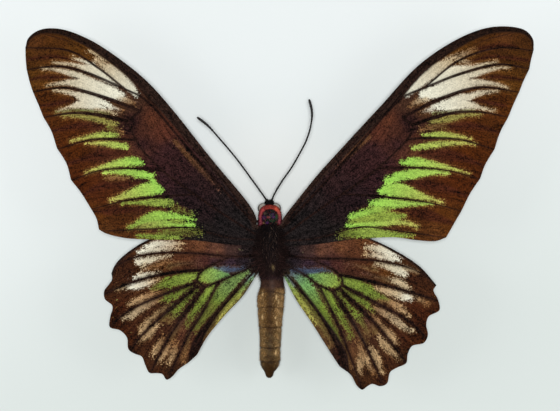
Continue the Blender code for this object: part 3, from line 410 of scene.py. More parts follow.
                ("moss", "fern", 0.6, ((24, -23.7, 0.3), (26.5, -25.1, 0.6), (29, -26.5, 0.8), (31.5, -27.3, 0.7))),
                ("fern", "moss", 0.9, ((31.5, -27.6, 0.6), (33.5, -28, 0.3))),
                ("moss", "fern", 0.8, ((22.6, -25, 0.3), (25, -27.2, 0.5), (27, -29.4, 0.6), (28.8, -31.5, 0.5))),
                ("moss", "earth", 0.9, ((28.8, -31.8, 0.5), (31, -34, 0.4))),
                ("moss", "earth", 0.9, ((29.5, -30.2, 0.3), (31.5, -32.3, 0.4), (33.5, -34.2, 0.3))),
                ("leaf", "fern", 0.6, ((17.4, -23.6, 0.7), (19.2, -26, 1.0), (21.2, -28.8, 1.0))),
                ("fern", "moss", 0.9, ((21.2, -28.8, 1.0), (23.4, -31.8, 0.8), (25.3, -35, 0.4))),
                ("jade", "jade", 0.7, ((6.8, -19.7, 0.4), (9.5, -21, 1.2), (12.5, -23.4, 1.8))),
                ("jade", "fern", 0.6, ((12.5, -23.4, 1.8), (15.3, -26.6, 1.9), (17, -28.9, 1.7))),
                ("moss", "moss", 0.6, ((17, -28.9, 1.7), (18.6, -31, 1.5), (20.5, -33.6, 1.1), (22.6, -36.8, 0.4))),
                ("sea", "yolk", 0.5, ((5.6, -21, 0.3), (8, -23.8, 0.6), (10.3, -26.8, 0.8))),
                ("yolk", "straw", 0.4, ((10.3, -26.8, 0.8), (12.6, -29.5, 0.8), (14.5, -32.2, 0.6),
                                        (16.3, -34.7, 0.25))),
                ("moss", "earth", 0.6, ((8.5, -23.6, 0.2), (12, -28.2, 0.4), (15.3, -32.4, 0.5), (18, -36.2, 0.6),
                                        (20, -39.2, 0.3))),
                # A painted highlight, a glint along the 2A vein near the root
                ("painted_glint", "painted_glint", 0.1, ((5, -20, 0.1), (6.4, -21.3, 0.15), (7.8, -22.6, 0.08))),
            ),
        },
    },
}

# Paints of the wing scales, from above and from below, as a picture shows them
PAINTS = {
    "cream": ((227, 225, 204), (206, 206, 190)),
    "chalk": ((200, 192, 168), (186, 184, 166)),
    "tan": ((180, 160, 126), (150, 138, 112)),
    "sand": ((160, 132, 95), (140, 124, 96)),
    "umber": ((112, 78, 46), (90, 68, 46)),
    "rust": ((78, 49, 37), (70, 50, 42)),
    "earth": ((90, 68, 38), (76, 62, 42)),
    "straw": ((168, 162, 80), (130, 140, 100)),
    "hay": ((128, 122, 60), (112, 116, 78)),
    "fern": ((100, 118, 42), (88, 108, 78)),
    "lime": ((156, 180, 80), (120, 150, 120)),
    "green": ((148, 199, 80), (110, 160, 140)),
    "olive": ((124, 142, 56), (96, 110, 70)),
    "leaf": ((129, 149, 61), (104, 130, 100)),
    "moss": ((88, 92, 36), (76, 74, 42)),
    "yolk": ((128, 134, 58), (100, 120, 90)),
    "jade": ((100, 124, 66), (96, 130, 110)),
    "sea": ((104, 146, 84), (96, 150, 150)),
    "blue": ((54, 62, 80), (60, 90, 120)),
    "slate": ((80, 92, 98), (70, 100, 120)),
    # A painted highlight: a pale bluish glint line
    "painted_glint": ((170, 200, 205), (120, 150, 160)),
}

# Paints that lie thinly, so that the ground shows through them in specks
THIN_PAINTS = ("fern", "moss")
THIN_DUST = 1.5

# Ground colours where they are read: (out, ahead, colour)
GROUNDS = {
    "fore": (
        (4, -6, (25, 21, 21)), (8, -3, (27, 23, 23)), (14, -4, (25, 21, 21)), (12, 4, (30, 22, 22)),
        (20, -7, (26, 21, 20)), (24, 4, (30, 18, 20)), (20, -1, (31, 20, 21)), (28, 2, (33, 20, 22)),
        (20, 8, (40, 24, 24)), (26, 14, (43, 24, 24)), (31, 17, (46, 25, 25)), (33, 24, (76, 40, 28)),
        (36, 26.5, (79, 43, 28)), (38, 24.5, (66, 36, 26)), (42, 26.5, (38, 20, 19)), (43.5, 24, (40, 21, 20)),
        (39, 19, (48, 26, 25)), (35, 14, (48, 26, 26)), (33, 9, (44, 24, 26)), (37, 12, (54, 28, 27)),
        (40, 17, (72, 40, 30)), (44, 17, (84, 50, 31)), (45, 22, (70, 38, 26)), (42, 32, (66, 42, 30)),
        (62, 23, (71, 34, 9)), (60, 18, (69, 32, 7)), (57, 8, (67, 30, 8)), (52, 5, (67, 31, 11)),
        (53, -2, (76, 40, 11)), (55, -6, (80, 44, 15)), (50, -7, (82, 47, 20)), (70, 33, (73, 37, 10)),
        (66, 27, (71, 36, 10)), (73, 38, (80, 48, 14)), (75, 47, (67, 38, 11)), (66, 51, (70, 39, 12)),
        (72, 51, (76, 43, 18)), (58, 47.5, (80, 48, 15)), (78, 50, (62, 34, 11)), (47, 31, (72, 46, 28)),
        (47, -3.5, (68, 36, 13)),
    ),
    "hind": (
        (4, -17, (26, 21, 22)), (7, -12.5, (34, 26, 26)), (8, -15.5, (32, 25, 30)), (11.5, -12.5, (60, 41, 36)),
        (12, -10.5, (50, 33, 30)), (16, -13, (86, 54, 40)), (22, -11.5, (94, 57, 36)), (26, -13, (80, 46, 28)),
        (29, -11, (88, 52, 28)), (20, -16.5, (68, 37, 31)), (27, -17.5, (72, 38, 23)), (33, -18.5, (78, 44, 20)),
        (36, -20, (84, 49, 19)), (12, -17, (44, 31, 40)), (17, -17.3, (54, 34, 40)), (43.5, -21, (50, 26, 14)),
        (46, -24, (53, 28, 14)), (45, -30, (61, 29, 13)), (48, -32.5, (56, 26, 11)), (44, -40, (56, 26, 10)),
        (40, -38, (54, 27, 14)), (39, -45, (57, 31, 16)), (34, -52, (56, 29, 14)), (29, -52.5, (62, 36, 18)),
        (30, -49.5, (55, 32, 17)), (24.5, -26.5, (48, 27, 24)), (28.5, -31, (46, 27, 21)), (22, -28.5, (50, 30, 24)),
        (25, -33, (58, 33, 26)), (31, -22.5, (66, 38, 24)), (36, -30.5, (60, 33, 19)), (35, -34, (54, 29, 17)),
        (30, -38.5, (62, 35, 22)), (33, -37, (56, 30, 18)), (26.5, -39, (76, 44, 30)), (22.5, -37, (76, 46, 33)),
        (23.5, -44, (92, 60, 36)), (6, -22, (60, 52, 34)), (11.5, -31, (94, 84, 44)), (16, -37, (86, 62, 37)),
        (18.6, -41.6, (70, 46, 30)), (20.2, -42.4, (34, 19, 17)), (21.4, -46, (32, 18, 15)),
        (26, -19.8, (68, 38, 27)), (47, -27, (60, 32, 16)),
    ),
}
INK = (30, 16, 12)
FOLD_INK = (46, 20, 11)
WEDGE = (58, 26, 15)
COSTAL = ((46, 33, 28), (31, 18, 12))

# Half widths of the dark lines on the veins, spread along each vein
INK_WIDTHS = {
    "fore": {
        "Sc": (0.2, 0.2, 0.15), "R": (0.3, 0.3, 0.3), "R1": (0.15, 0.15, -0.1), "R2": (0.2, -0.2, -0.4, -0.1, 0.1),
        "R3": (0.2, -0.4, -0.4, -0.1, 0.1, 0.1), "R4": (0.25, 0.3, 0.25, 0.12), "R5": (0.3, 0.42, 0.35, 0.12),
        "M1": (0.4, 0.55, 0.5, 0.3, 0.12), "M2": (0.5, 0.5, 0.4, 0.25, 0.12), "M3": (0.35, 0.28, 0.22, 0.1),
        "CuA1": (0.25, 0.24, 0.2, 0.1), "CuA2": (0.15, 0.24, 0.22, 0.1), "1A": (0.1, 0.15, 0.2, 0.2, 0.1),
        "Cu": (0.2, 0.25, 0.25), "cross": (0.35, 0.4, 0.35, -0.1, -0.4),
    },
    "hind": {
        "Rs": (0.2, 0.25, 0.25, 0.12), "M1": (0.4, 0.4, 0.28, 0.12), "M2": (0.4, 0.36, 0.28, 0.12),
        "M3": (0.4, 0.4, 0.3, 0.12), "CuA1": (0.4, 0.4, 0.3, 0.12), "CuA2": (0.3, 0.4, 0.3, 0.12),
        "2A": (0.2, 0.3, 0.4, 0.5, 0.85, 1.25, 0.8), "Cu": (0.15, 0.2, 0.25), "cross": (0.15, 0.2, 0.3, 0.3),
    },
}
COSTAL_WIDTHS = {"fore": (1.4, 1.6, 2.0, 2.4, 2.9, 3.2, 2.9, 2.6, 2.2, 1.5, 0.3), "hind": (0.5, 0.5, 0.5, 0.8, 0.6)}
VEIN_ORDER = {
    "fore": ("Sc", "R", "R1", "R2", "R3", "R4", "R5", "M1", "M2", "M3", "CuA1", "CuA2", "1A"),
    "hind": ("Rs", "M1", "M2", "M3", "CuA1", "CuA2", "2A"),
}

# The body's lengths: (ahead, half width, half height, height of the centre, how far the centre lies to the right)
HEAD = (
    (2.4, 0.5, 0.5, 8.6, HEAD_ASIDE), (2.1, 1.1, 1.2, 8.6, HEAD_ASIDE), (1.3, 1.6, 1.8, 8.5, HEAD_ASIDE),
    (0.4, 1.9, 2.1, 8.4, HEAD_ASIDE), (-0.4, 1.9, 2.0, 8.4, HEAD_ASIDE),
)
COLLAR = (
    (-0.7, 2.1, 2.1, 8.6, 0.0), (-1.4, 3.1, 2.9, 8.7, 0.0), (-2.5, 3.6, 3.3, 8.8, 0.0),
    (-3.6, 3.4, 3.3, 9.0, 0.0), (-4.2, 3.0, 3.0, 9.0, 0.0),
)
THORAX = (
    (-4.5, 3.1, 3.1, 9.0, 0.0), (-5.2, 4.0, 3.9, 9.1, 0.0), (-7.2, 4.8, 4.6, 9.2, 0.0), (-10.5, 5.3, 5.0, 9.3, 0.0),
    (-14.0, 5.1, 4.9, 9.2, 0.0), (-17.2, 4.3, 4.3, 8.9, 0.1), (-19.6, 3.6, 3.5, 8.5, 0.3),
    (-20.7, 3.3, 3.0, 8.3, 0.4),
)
ABDOMEN = (
    (-21.0, 3.35, 2.9, 8.2, 0.45), (-23.2, 3.55, 3.2, 8.0, 0.7), (-24.9, 3.85, 3.5, 7.7, 0.6),
    (-26.8, 4.1, 3.75, 7.5, 0.3), (-28.8, 4.05, 3.8, 7.3, 0.2), (-30.9, 3.9, 3.7, 7.0, 0.2),
    (-33.4, 3.65, 3.5, 6.8, 0.1), (-35.9, 3.45, 3.3, 6.5, 0.1), (-38.5, 3.3, 3.15, 6.2, 0.1),
    (-41.0, 3.15, 3.05, 6.0, 0.1), (-43.6, 3.1, 3.0, 5.8, 0.0), (-45.5, 3.1, 2.9, 5.6, 0.0),
    (-46.6, 3.05, 2.75, 5.5, 0.0), (-47.6, 2.85, 2.5, 5.4, 0.0), (-48.7, 2.45, 2.15, 5.3, -0.05),
    (-50.0, 1.6, 1.5, 5.3, -0.15), (-50.6, 1.3, 1.2, 5.3, -0.2), (-51.3, 1.1, 1.0, 5.3, -0.2),
    (-51.9, 0.5, 0.6, 5.3, -0.25),
)
# Where a segment of the abdomen ends on the back, and how much further ahead it ends at the flanks
SEGMENT_JOINTS = ((-25.3, -0.7), (-30.0, -0.4), (-36.4, 0.3), (-42.7, 0.4), (-47.0, 0.4))
# The red arch behind the head and the dome that carries it
ARCH_AHEAD = -2.9
ARCH_OUTER = (3.75, 4.15)
ARCH_INNER = (2.45, 2.85)
ARCH_SQUARE = 2.4
DOME_RADII = (3.35, 3.9)
DOME_BASE = 9.6
DOME_RISE = 2.4
# Spots on the dome and the thorax: how far to the right, ahead, half width, half length, colour
BODY_SPOTS = (
    (-1.8, -2.6, 0.7, 0.6, (84, 36, 90)), (0.3, -2.0, 0.6, 0.5, (44, 62, 66)), (0.8, -1.5, 0.5, 0.35, (76, 54, 88)),
    (1.1, -2.4, 0.6, 0.4, (88, 46, 100)), (2.0, -2.3, 0.45, 0.9, (48, 82, 48)),
    (-0.45, -2.5, 0.6, 0.3, (156, 72, 74)), (-0.6, -3.2, 0.8, 0.4, (22, 34, 22)),
    (-0.9, -4.2, 0.5, 0.5, (88, 40, 100)), (0.9, -3.5, 0.9, 0.5, (36, 58, 38)), (-1.5, -1.3, 0.5, 0.4, (96, 84, 70)),
    (-2.1, -4.2, 0.5, 0.25, (186, 138, 94)), (0.9, -17.1, 0.5, 0.7, (140, 118, 82)),
)
# Painted highlights, glints on the abdomen's flanks: how far to the right, ahead, half width, half length
PAINTED_GLINTS = (
    (1.95, -27.1, 0.3, 0.9), (2.6, -28.4, 0.25, 0.7), (1.7, -33.4, 0.3, 0.5), (2.1, -35.0, 0.25, 0.8),
    (1.75, -44.2, 0.25, 0.9), (-2.3, -26.0, 0.3, 0.8), (-2.3, -33.2, 0.3, 0.8),
)
# How deep the coat is along the body: (ahead, depth)
COAT_DEPTHS = (
    (-52, 0.05), (-22, 0.1), (-20, 0.35), (-17, 0.6), (-5, 0.6), (-4, 0.4), (-1.5, 0.5), (-0.5, 0.2), (3, 0.15),
)
SKIN_RINGS = 250
SKIN_SIDES = 80
LIP_HEIGHT = 0.1
LIP_RUN = 1.2
GROOVE_DEPTH = 0.16
GROOVE_RUN = 0.35

BLACK_FUR = (24, 20, 21)
HORN = (19, 16, 15)
HORN_GRAIN = 0.00025
EYE_FACET = 0.00012
# The arch's colours at turns round the dome, in degrees from the right over the front
ARCH_TURNS = (-28, 0, 40, 90, 150, 208)
ARCH_PAINTS = ((122, 60, 70), (146, 68, 74), (194, 88, 66), (196, 78, 66), (166, 70, 70), (124, 58, 72))
ARCH_TUFTS = 13000
SHOULDER_TUFTS = 9000
# How many random places are tried for a tuft; the wider and taller the body, at most this much, the more are kept
TRIES = 12
WIDEST = 11
UPRIGHT = np.array((0.0, 0.0, 1.0))

# A tuft has three corners at its root, three half way up and one at its tip
TUFT_FACES = ((0, 2, 1), (0, 1, 4), (0, 4, 3), (1, 2, 5), (1, 5, 4), (2, 0, 3), (2, 3, 5), (3, 4, 6), (4, 5, 6),
              (5, 3, 6))
TUFT_PATCH = ((-1, -1), (1, -1), (0, 1), (-0.6, 0), (0.6, 0), (0, 0.5), (0, 0))
PATCH_HALF = 0.0015
TUFT_SUNK = 0.08
TUFT_FLAT = 0.6
TUFT_TAPER = 0.8

# Leg ways from inside the body to the toes: (out, ahead, height)
FOOT_HEIGHT = 0.26
LEGS = {
    "fore": ((1.8, -3.2, 7.2), (2.6, -3.8, 4.8), (5.2, -3.9, 5.6), (9.2, -2.2, 7.7), (12.4, 0.8, 4.4),
             (14.6, 2.6, 1.0), (15.8, 3.3, FOOT_HEIGHT), (18.6, 4.8, FOOT_HEIGHT)),
    "mid": ((2.2, -8.6, 6.9), (3.4, -8.6, 4.3), (6.8, -8.1, 5.9), (11.2, -7.5, 7.9), (15.0, -7.2, 4.4),
            (17.7, -6.9, 1.0), (19.2, -6.8, FOOT_HEIGHT), (22.8, -6.4, FOOT_HEIGHT)),
    "hind": ((2.2, -14.6, 6.9), (3.4, -15.0, 4.3), (6.6, -16.6, 5.9), (10.6, -18.7, 7.7), (13.9, -21.4, 4.4),
             (16.0, -23.4, 1.0), (17.2, -24.5, FOOT_HEIGHT), (19.8, -27.0, FOOT_HEIGHT)),
}
ANTENNA_RADIUS = 0.26
ANTENNA_BEADS = 34
BEAD_DEPTH = 0.07
CLUB_START = 0.8
CLUB_RUN = 0.2
CLUB_SWELL = 0.14
ANTENNAE = {
    "right": ((0.5, 1.0, 8.8), (0.7, 2.9, 10.2), (1.8, 5.3, 10.8), (3.7, 8.4, 11.3), (6.7, 12.7, 11.9),
              (9.1, 16.9, 12.3), (11.0, 20.6, 12.6), (12.2, 24.2, 12.8), (12.8, 27.9, 13.0), (12.7, 30.3, 13.1),
              (11.9, 33.4, 13.3)),
    "left": ((0.9, 1.0, 8.8), (1.2, 2.6, 10.1), (3.0, 5.3, 10.8), (6.1, 9.6, 11.5), (10.4, 15.4, 12.1),
             (15.3, 21.2, 12.6), (19.2, 25.5, 12.9), (22.3, 27.9, 13.1)),
}
PALP = ((0.55, 0.9, 7.2), (0.7, 2.2, 7.2), (0.72, 2.75, 8.2), (0.66, 2.6, 9.3))
PALP_RADII = (0.36, 0.38, 0.4, 0.36, 0.22, 0.08)
EYE_RADIUS = 1.7
EYE_PLACE = (1.87, 0.05, 8.35)
COIL_TUBE = 0.27
COIL_INNER = 0.45
COIL_PITCH = 0.85
COIL_TURNS = 1.5
COIL_STEPS = 90
COIL_PLACE = (0.6, 4.9)

# Floor and camera, in metres, with the width that is seen at one height; the sensor in millimetres
FLOOR_SIDE = 16
CAMERA_HEIGHT = 1.5
CAMERA_AHEAD = 0.000915
SEEN_HEIGHT = 0.0145
SEEN_WIDTH = 0.1708
SENSOR_WIDTH = 36


def linear(colour):
    """A colour as a picture gives it, 0 to 255, as light."""
    share = np.asarray(colour, float) / 255
    return np.where(share <= 0.04045, share / 12.92, ((share + 0.055) / 1.055) ** 2.4)


def smooth_line(points, step):
    """A curve through the points with a place about every step along it."""
    points = np.array(points, float)
    ends = np.vstack([2 * points[0] - points[1], points, 2 * points[-1] - points[-2]])
    line = [points[0]]
    for before, start, end, after in zip(ends, ends[1:], ends[2:], ends[3:]):
        length = np.linalg.norm(end - start)
        share = math.sqrt(length)
        lead_in = max(math.sqrt(np.linalg.norm(start - before)), 1e-6)
        lead_out = max(math.sqrt(np.linalg.norm(after - end)), 1e-6)
        leaving = (start - before) / lead_in - (end - before) / (lead_in + share) + (end - start) / share
        arriving = (end - start) / share - (after - start) / (share + lead_out) + (after - end) / lead_out
        count = max(1, round(length / step))
        for t in np.arange(1, count + 1) / count:
            line.append(
                (2 * t**3 - 3 * t**2 + 1) * start
                + (t**3 - 2 * t**2 + t) * leaving * share
                + (3 * t**2 - 2 * t**3) * end
                + (t**3 - t**2) * arriving * share
            )
    return np.array(line)


def nearest(points, line, reach=FAR):
    """The distance from each point to a line, at most reach, and the share of the line where its nearest place is."""
    best = np.full(len(points), float(reach))
    share = np.zeros(len(points))
    x, y = points.T
    around = np.nonzero((x > line[:, 0].min() - reach) & (x < line[:, 0].max() + reach)
                        & (y > line[:, 1].min() - reach) & (y < line[:, 1].max() + reach))[0]
    x, y = x[around], y[around]
    for i, (start, end) in enumerate(zip(line, line[1:])):
        low, high = np.minimum(start, end) - reach, np.maximum(start, end) + reach
        close = np.nonzero((x > low[0]) & (x < high[0]) & (y > low[1]) & (y < high[1]))[0]
        run = end - start
        dx, dy = x[close] - start[0], y[close] - start[1]
        t = np.clip((dx * run[0] + dy * run[1]) / max(run @ run, 1e-12), 0, 1)
        gap = np.hypot(dx - t * run[0], dy - t * run[1])
        where = around[close]
        closer = gap < best[where]
        where = where[closer]
        best[where] = gap[closer]
        share[where] = (i + t[closer]) / (len(line) - 1)
    return best, share


def spread(values, share):
    """Values laid evenly along a length, read at shares of it."""
    return np.interp(share, np.linspace(0, 1, len(values)), values)


def stroke_depth(points, stroke):
    """How deep each point lies inside a stroke, below nought outside it, and the share along it."""
    line = smooth_line(stroke, 1.0)
    gap, share = nearest(points, line[:, :2], 4.0)
    return spread(line[:, 2], share) - gap, share


# Working with the mesh as by hand


def deselect():
    if bpy.context.mode != "OBJECT":
        bpy.ops.object.mode_set(mode="OBJECT")
    bpy.ops.object.select_all(action="DESELECT")


def only(piece):
    deselect()
    piece.select_set(True)
    bpy.context.view_layer.objects.active = piece


def added(name):
    """The primitive that was just added, under its own name, with its place in its mesh."""
    piece = bpy.context.object
    piece.name = piece.data.name = name
    bpy.ops.object.transform_apply(location=True, rotation=True, scale=True)
    return piece


def places_of(piece):
    """The piece's corners in millimetres."""
    flat = np.empty(len(piece.data.vertices) * 3)
    piece.data.vertices.foreach_get("co", flat)
    return flat.reshape(-1, 3) / MM


def set_places(piece, places):
    piece.data.vertices.foreach_set("co", (np.asarray(places) * MM).ravel())
    piece.data.update()


def finish_mesh(piece, merge=None, angle=None):
    """Doubles merged, faces turned outwards, shaded smooth."""
    only(piece)
    bpy.ops.object.mode_set(mode="EDIT")
    bpy.ops.mesh.select_all(action="SELECT")
    if merge:
        bpy.ops.mesh.remove_doubles(threshold=merge * MM)
    bpy.ops.mesh.normals_make_consistent(inside=False)
    bpy.ops.object.mode_set(mode="OBJECT")
    if angle:
        bpy.ops.object.shade_smooth_by_angle(angle=math.radians(angle))
    else:
        bpy.ops.object.shade_smooth()
    return piece


def store(piece, name, kind, values):
    layer = piece.data.attributes.new(name, kind, "POINT")
    field = {"FLOAT": "value", "FLOAT_VECTOR": "vector", "FLOAT_COLOR": "color"}[kind]
    values = np.asarray(values, np.float32)
    if kind == "FLOAT_COLOR":
        values = np.column_stack([values, np.ones(len(values), np.float32)])
    layer.data.foreach_set(field, values.ravel())


def declare(piece, finish, slot, *nodes):
    """The piece gets its finish, rides on the one body and stands for these nodes; the slot is not used."""
    piece.data.materials.clear()
    piece.data.materials.append(finish)
    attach(piece, BODY)
    if nodes:
        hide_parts(*nodes)


def place_on(side, out, ahead, height, aside=0.0):
    return (AXIS_X + aside + SIDES.get(side, 0) * out, ahead, height)


def rod(name, side, line, radii, aside=0.0, sides=12):
    """A closed round rod along a line on one side, as thick as radii say, made from a cylinder cut into rings."""
    ways = np.array([place_on(side, *where, aside) for where in line])
    count = len(ways)
    deselect()
    bpy.ops.mesh.primitive_cylinder_add(vertices=sides, radius=1, depth=1, end_fill_type="TRIFAN")
    piece = added(name)
    bpy.ops.object.mode_set(mode="EDIT")
    bpy.ops.mesh.select_mode(type="EDGE")
    bpy.ops.mesh.select_all(action="DESELECT")
    bpy.ops.object.mode_set(mode="OBJECT")
    for edge in piece.data.edges:
        low, high = (piece.data.vertices[i].co for i in edge.vertices)
        edge.select = abs(low.z - high.z) > 0.5
    bpy.ops.object.mode_set(mode="EDIT")
    bpy.ops.mesh.subdivide(number_cuts=min(count - 2, MOST_CUTS))
    bpy.ops.object.mode_set(mode="OBJECT")
    corners = places_of(piece) * MM
    ring = np.clip(np.round((corners[:, 2] + 0.5) * (count - 1)).astype(int), 0, count - 1)
    reach = np.hypot(corners[:, 0], corners[:, 1])
    angle = np.arctan2(corners[:, 1], corners[:, 0])
    heading = np.gradient(ways, axis=0)
    heading /= np.linalg.norm(heading, axis=1)[:, None]
    across = np.zeros_like(ways)
    beside = np.cross(heading[0], (0.3, 0.2, 1.0))
    for i in range(count):
        beside = beside - heading[i] * (beside @ heading[i])
        beside /= np.linalg.norm(beside)
        across[i] = beside
    above = np.cross(heading, across)
    thick = radii[ring] * np.clip(reach, 0, 1)
    set_places(piece, ways[ring] + thick[:, None] * (
        np.cos(angle)[:, None] * across[ring] + np.sin(angle)[:, None] * above[ring]))
    return finish_mesh(piece)


def joined(name, pieces):
    deselect()
    for piece in pieces:
        piece.select_set(True)
    bpy.context.view_layer.objects.active = pieces[0]
    bpy.ops.object.join()
    pieces[0].name = pieces[0].data.name = name
    return pieces[0]


# Finishes


def wire(tree, kind, inputs=None, **settings):
    """A node with its settings, its inputs linked or set."""
    made = tree.nodes.new(kind)
    for name, value in settings.items():
        setattr(made, name, value)
    for name, value in (inputs or {}).items():
        if isinstance(value, bpy.types.NodeSocket):
            tree.links.new(value, made.inputs[name])
        else:
            made.inputs[name].default_value = value
    return made


def math_of(tree, operation, first, second=0.5, third=0.5):
    return wire(tree, "ShaderNodeMath", {0: first, 1: second, 2: third}, operation=operation).outputs[0]


def mixed(tree, share, first, second):
    return wire(tree, "ShaderNodeMix", {0: share, 6: first, 7: second}, data_type="RGBA").outputs[2]


def ramp(tree, value, low, high, start=0.0, end=1.0):
    """A soft step of the value from low to high."""
    return wire(tree, "ShaderNodeMapRange", {0: value, 1: low, 2: high, 3: start, 4: end},
                interpolation_type="SMOOTHSTEP").outputs[0]


def scaled(tree, colour, scale):
    return wire(tree, "ShaderNodeVectorMath", {0: colour, "Scale": scale}, operation="SCALE").outputs[0]


def noise(tree, place, size, detail=2.0):
    """Noise from 0 to 1 about grains of this size, in the unit of the place."""
    return wire(tree, "ShaderNodeTexNoise", {"Vector": place, "Scale": 1 / size, "Detail": detail}).outputs["Fac"]


def group(name, inputs, outputs):
    tree = bpy.data.node_groups.new(name, "ShaderNodeTree")
    for label, kind, value in inputs:
        socket = tree.interface.new_socket(name=label, in_out="INPUT", socket_type=kind)
        if value is not None:
            socket.default_value = value
    for label, kind in outputs:
        tree.interface.new_socket(name=label, in_out="OUTPUT", socket_type=kind)
    return tree, tree.nodes.new("NodeGroupInput").outputs, tree.nodes.new("NodeGroupOutput").inputs


def flat_colour(colour):
    return (*linear(colour), 1.0)


def make_grain():
    """Fine scales: a brightness around 1, a height and two masks around 0, from grains and from longer streaks."""
    tree, given, out = group("scale grain", (
        ("Place", "NodeSocketVector", None), ("Flow", "NodeSocketVector", None),
        ("Grain", "NodeSocketFloat", 0.2), ("Streak", "NodeSocketFloat", 0.1),
    ), [(label, "NodeSocketFloat") for label in ("Brightness", "Height", "Speckle", "Streaks")])
    fine = noise(tree, given["Place"], 0.00038, 1.0)
    coarse = noise(tree, given["Place"], 0.0011)
    streak = noise(tree, given["Flow"], 1.0, 1.5)
    broad = noise(tree, given["Flow"], 4.0, 1.0)
    centred = [math_of(tree, "SUBTRACT", part, 0.5) for part in (fine, coarse, streak, broad)]
    grain = math_of(tree, "MULTIPLY", centred[0], given["Grain"])
    grain = math_of(tree, "MULTIPLY_ADD", centred[1], math_of(tree, "MULTIPLY", given["Grain"], 0.5), grain)
    for part in centred[2:]:
        grain = math_of(tree, "MULTIPLY_ADD", part, given["Streak"], grain)
    tree.links.new(math_of(tree, "ADD", grain, 1.0), out["Brightness"])
    tree.links.new(math_of(tree, "MULTIPLY_ADD", fine, 0.7, math_of(tree, "MULTIPLY", streak, 0.3)), out["Height"])
    for first, second, label in ((centred[0], centred[1], "Speckle"), (centred[2], centred[3], "Streaks")):
        tree.links.new(math_of(tree, "MULTIPLY", math_of(tree, "MULTIPLY_ADD", second, 0.5, first), 3.6), out[label])
    return tree


def make_paint():
    """The wing's markings: wedges and the paint's brown halo on the ground, then paint, front band, folds, veins."""
    colours = [label.capitalize() for label in (*WING_COLOURS, "halo")]
    numbers = [label.capitalize() for label in (*WING_MARKS, "speckle", "streaks", "brightness", "border")]
    tree, given, out = group("wing markings", (
        *((label, "NodeSocketColor", None) for label in colours),
        *((label, "NodeSocketFloat", 0.0) for label in numbers),
    ), (("Colour", "NodeSocketColor"), ("Painted", "NodeSocketFloat")))

    def times_add(value, factor, more):
        return math_of(tree, "MULTIPLY_ADD", value, factor, more)

    def times(value, factor):
        return math_of(tree, "MULTIPLY", value, factor)

    ink = flat_colour(INK)
    rough = times_add(given["Streaks"], 0.45, given["Speckle"])
    broken = times_add(rough, given["Dust"], given["Edge"])
    wedge = times_add(given["Streaks"], 0.4, given["Wedge"])
    base = mixed(tree, times(ramp(tree, wedge, -0.9, 0.5), 0.8), given["Ground"], flat_colour(WEDGE))
    halo = ramp(tree, times_add(rough, 0.4, given["Edge"]), -1.5, 0.1)
    base = mixed(tree, times(halo, times(given["Tip"], 0.6)), base, given["Halo"])
    painted = ramp(tree, broken, -0.55, 0.5)
    base = mixed(tree, painted, base, given["Paint"])
    band = times_add(given["Speckle"], 0.3, given["Band"])
    base = mixed(tree, ramp(tree, band, -0.35, 0.35), base, given["Costal"])
    base = mixed(tree, times(ramp(tree, given["Fold"], -0.22, 0.1), 0.65), base, flat_colour(FOLD_INK))
    shade = ramp(tree, times_add(rough, 0.2, given["Vein"]), -1.0, -0.1)
    base = mixed(tree, times(shade, given["Border"]), base, ink)
    vein = times_add(given["Speckle"], 0.08, given["Vein"])
    base = mixed(tree, times(ramp(tree, vein, -0.17, 0.12), 0.95), base, ink)

    # The grain shows more in very dark places and less in pale ones
    light = wire(tree, "ShaderNodeRGBToBW", {0: base}).outputs[0]
    evened = math_of(tree, "ADD", ramp(tree, light, 0.008, 0.024, -0.8, 0.0),
                     ramp(tree, light, 0.04, 0.66, 0.0, 0.72))
    calm = times_add(math_of(tree, "SUBTRACT", 1.0, given["Brightness"]), evened, given["Brightness"])
    tree.links.new(scaled(tree, base, calm), out["Colour"])
    tree.links.new(painted, out["Painted"])
    return tree


def placed(tree, tree_group, inputs):
    return wire(tree, "ShaderNodeGroup", inputs, node_tree=tree_group).outputs


def attribute(tree, name, which="Fac"):
    return wire(tree, "ShaderNodeAttribute", attribute_name=name).outputs[which]


def material(name, roughness, specular):
    """A new material, its tree, its shader and the place in the object that its noises are laid by."""
    made = bpy.data.materials.new(name)
    made.use_nodes = True
    tree = made.node_tree
    shader = tree.nodes["Principled BSDF"]
    shader.inputs["Roughness"].default_value = roughness
    shader.inputs["Specular IOR Level"].default_value = specular
    return made, tree, shader, wire(tree, "ShaderNodeTexCoord").outputs["Object"]


def bump(tree, shader, height, strength, distance):
    node = wire(tree, "ShaderNodeBump", {"Height": height, "Strength": strength, "Distance": distance})
    tree.links.new(node.outputs[0], shader.inputs["Normal"])


def wing_finish(name, grain, paint, halo, border):
    made, tree, shader, place = material(name, 0.62, 0.03)
    scales = placed(tree, grain, {"Place": place, "Flow": attribute(tree, "flow", "Vector"), "Grain": 2.9,
                                  "Streak": 1.5})
    inputs = {"Halo": flat_colour(halo), "Border": border}
    for label in WING_COLOURS:
        inputs[label.capitalize()] = attribute(tree, label, "Color")
    for label in WING_MARKS:
        inputs[label.capitalize()] = attribute(tree, label)
    for label in ("Speckle", "Streaks", "Brightness"):
        inputs[label] = scales[label]
    marks = placed(tree, paint, inputs)
    tree.links.new(marks["Colour"], shader.inputs["Base Color"])
    tree.links.new(ramp(tree, marks["Painted"], 0.0, 1.0, 0.7, 0.5), shader.inputs["Roughness"])
    bump(tree, shader, scales["Height"], 0.35, 0.00012)
    return made


# Wings


def wing_height(kind, out, ahead):
    """The height of a wing's middle surface: it rises outwards, and the hindwing lies just under the forewing."""
    height = WING_ROOT_HEIGHT + WING_RISE * out + WING_ARCH * np.sin(np.pi * np.clip(out / SPAN_SIDE, 0, 1))
    if kind == "hind":
        height = height - HINDWING_BELOW - HINDWING_DROOP * np.maximum(0, HINDWING_FRONT - ahead)
    return height


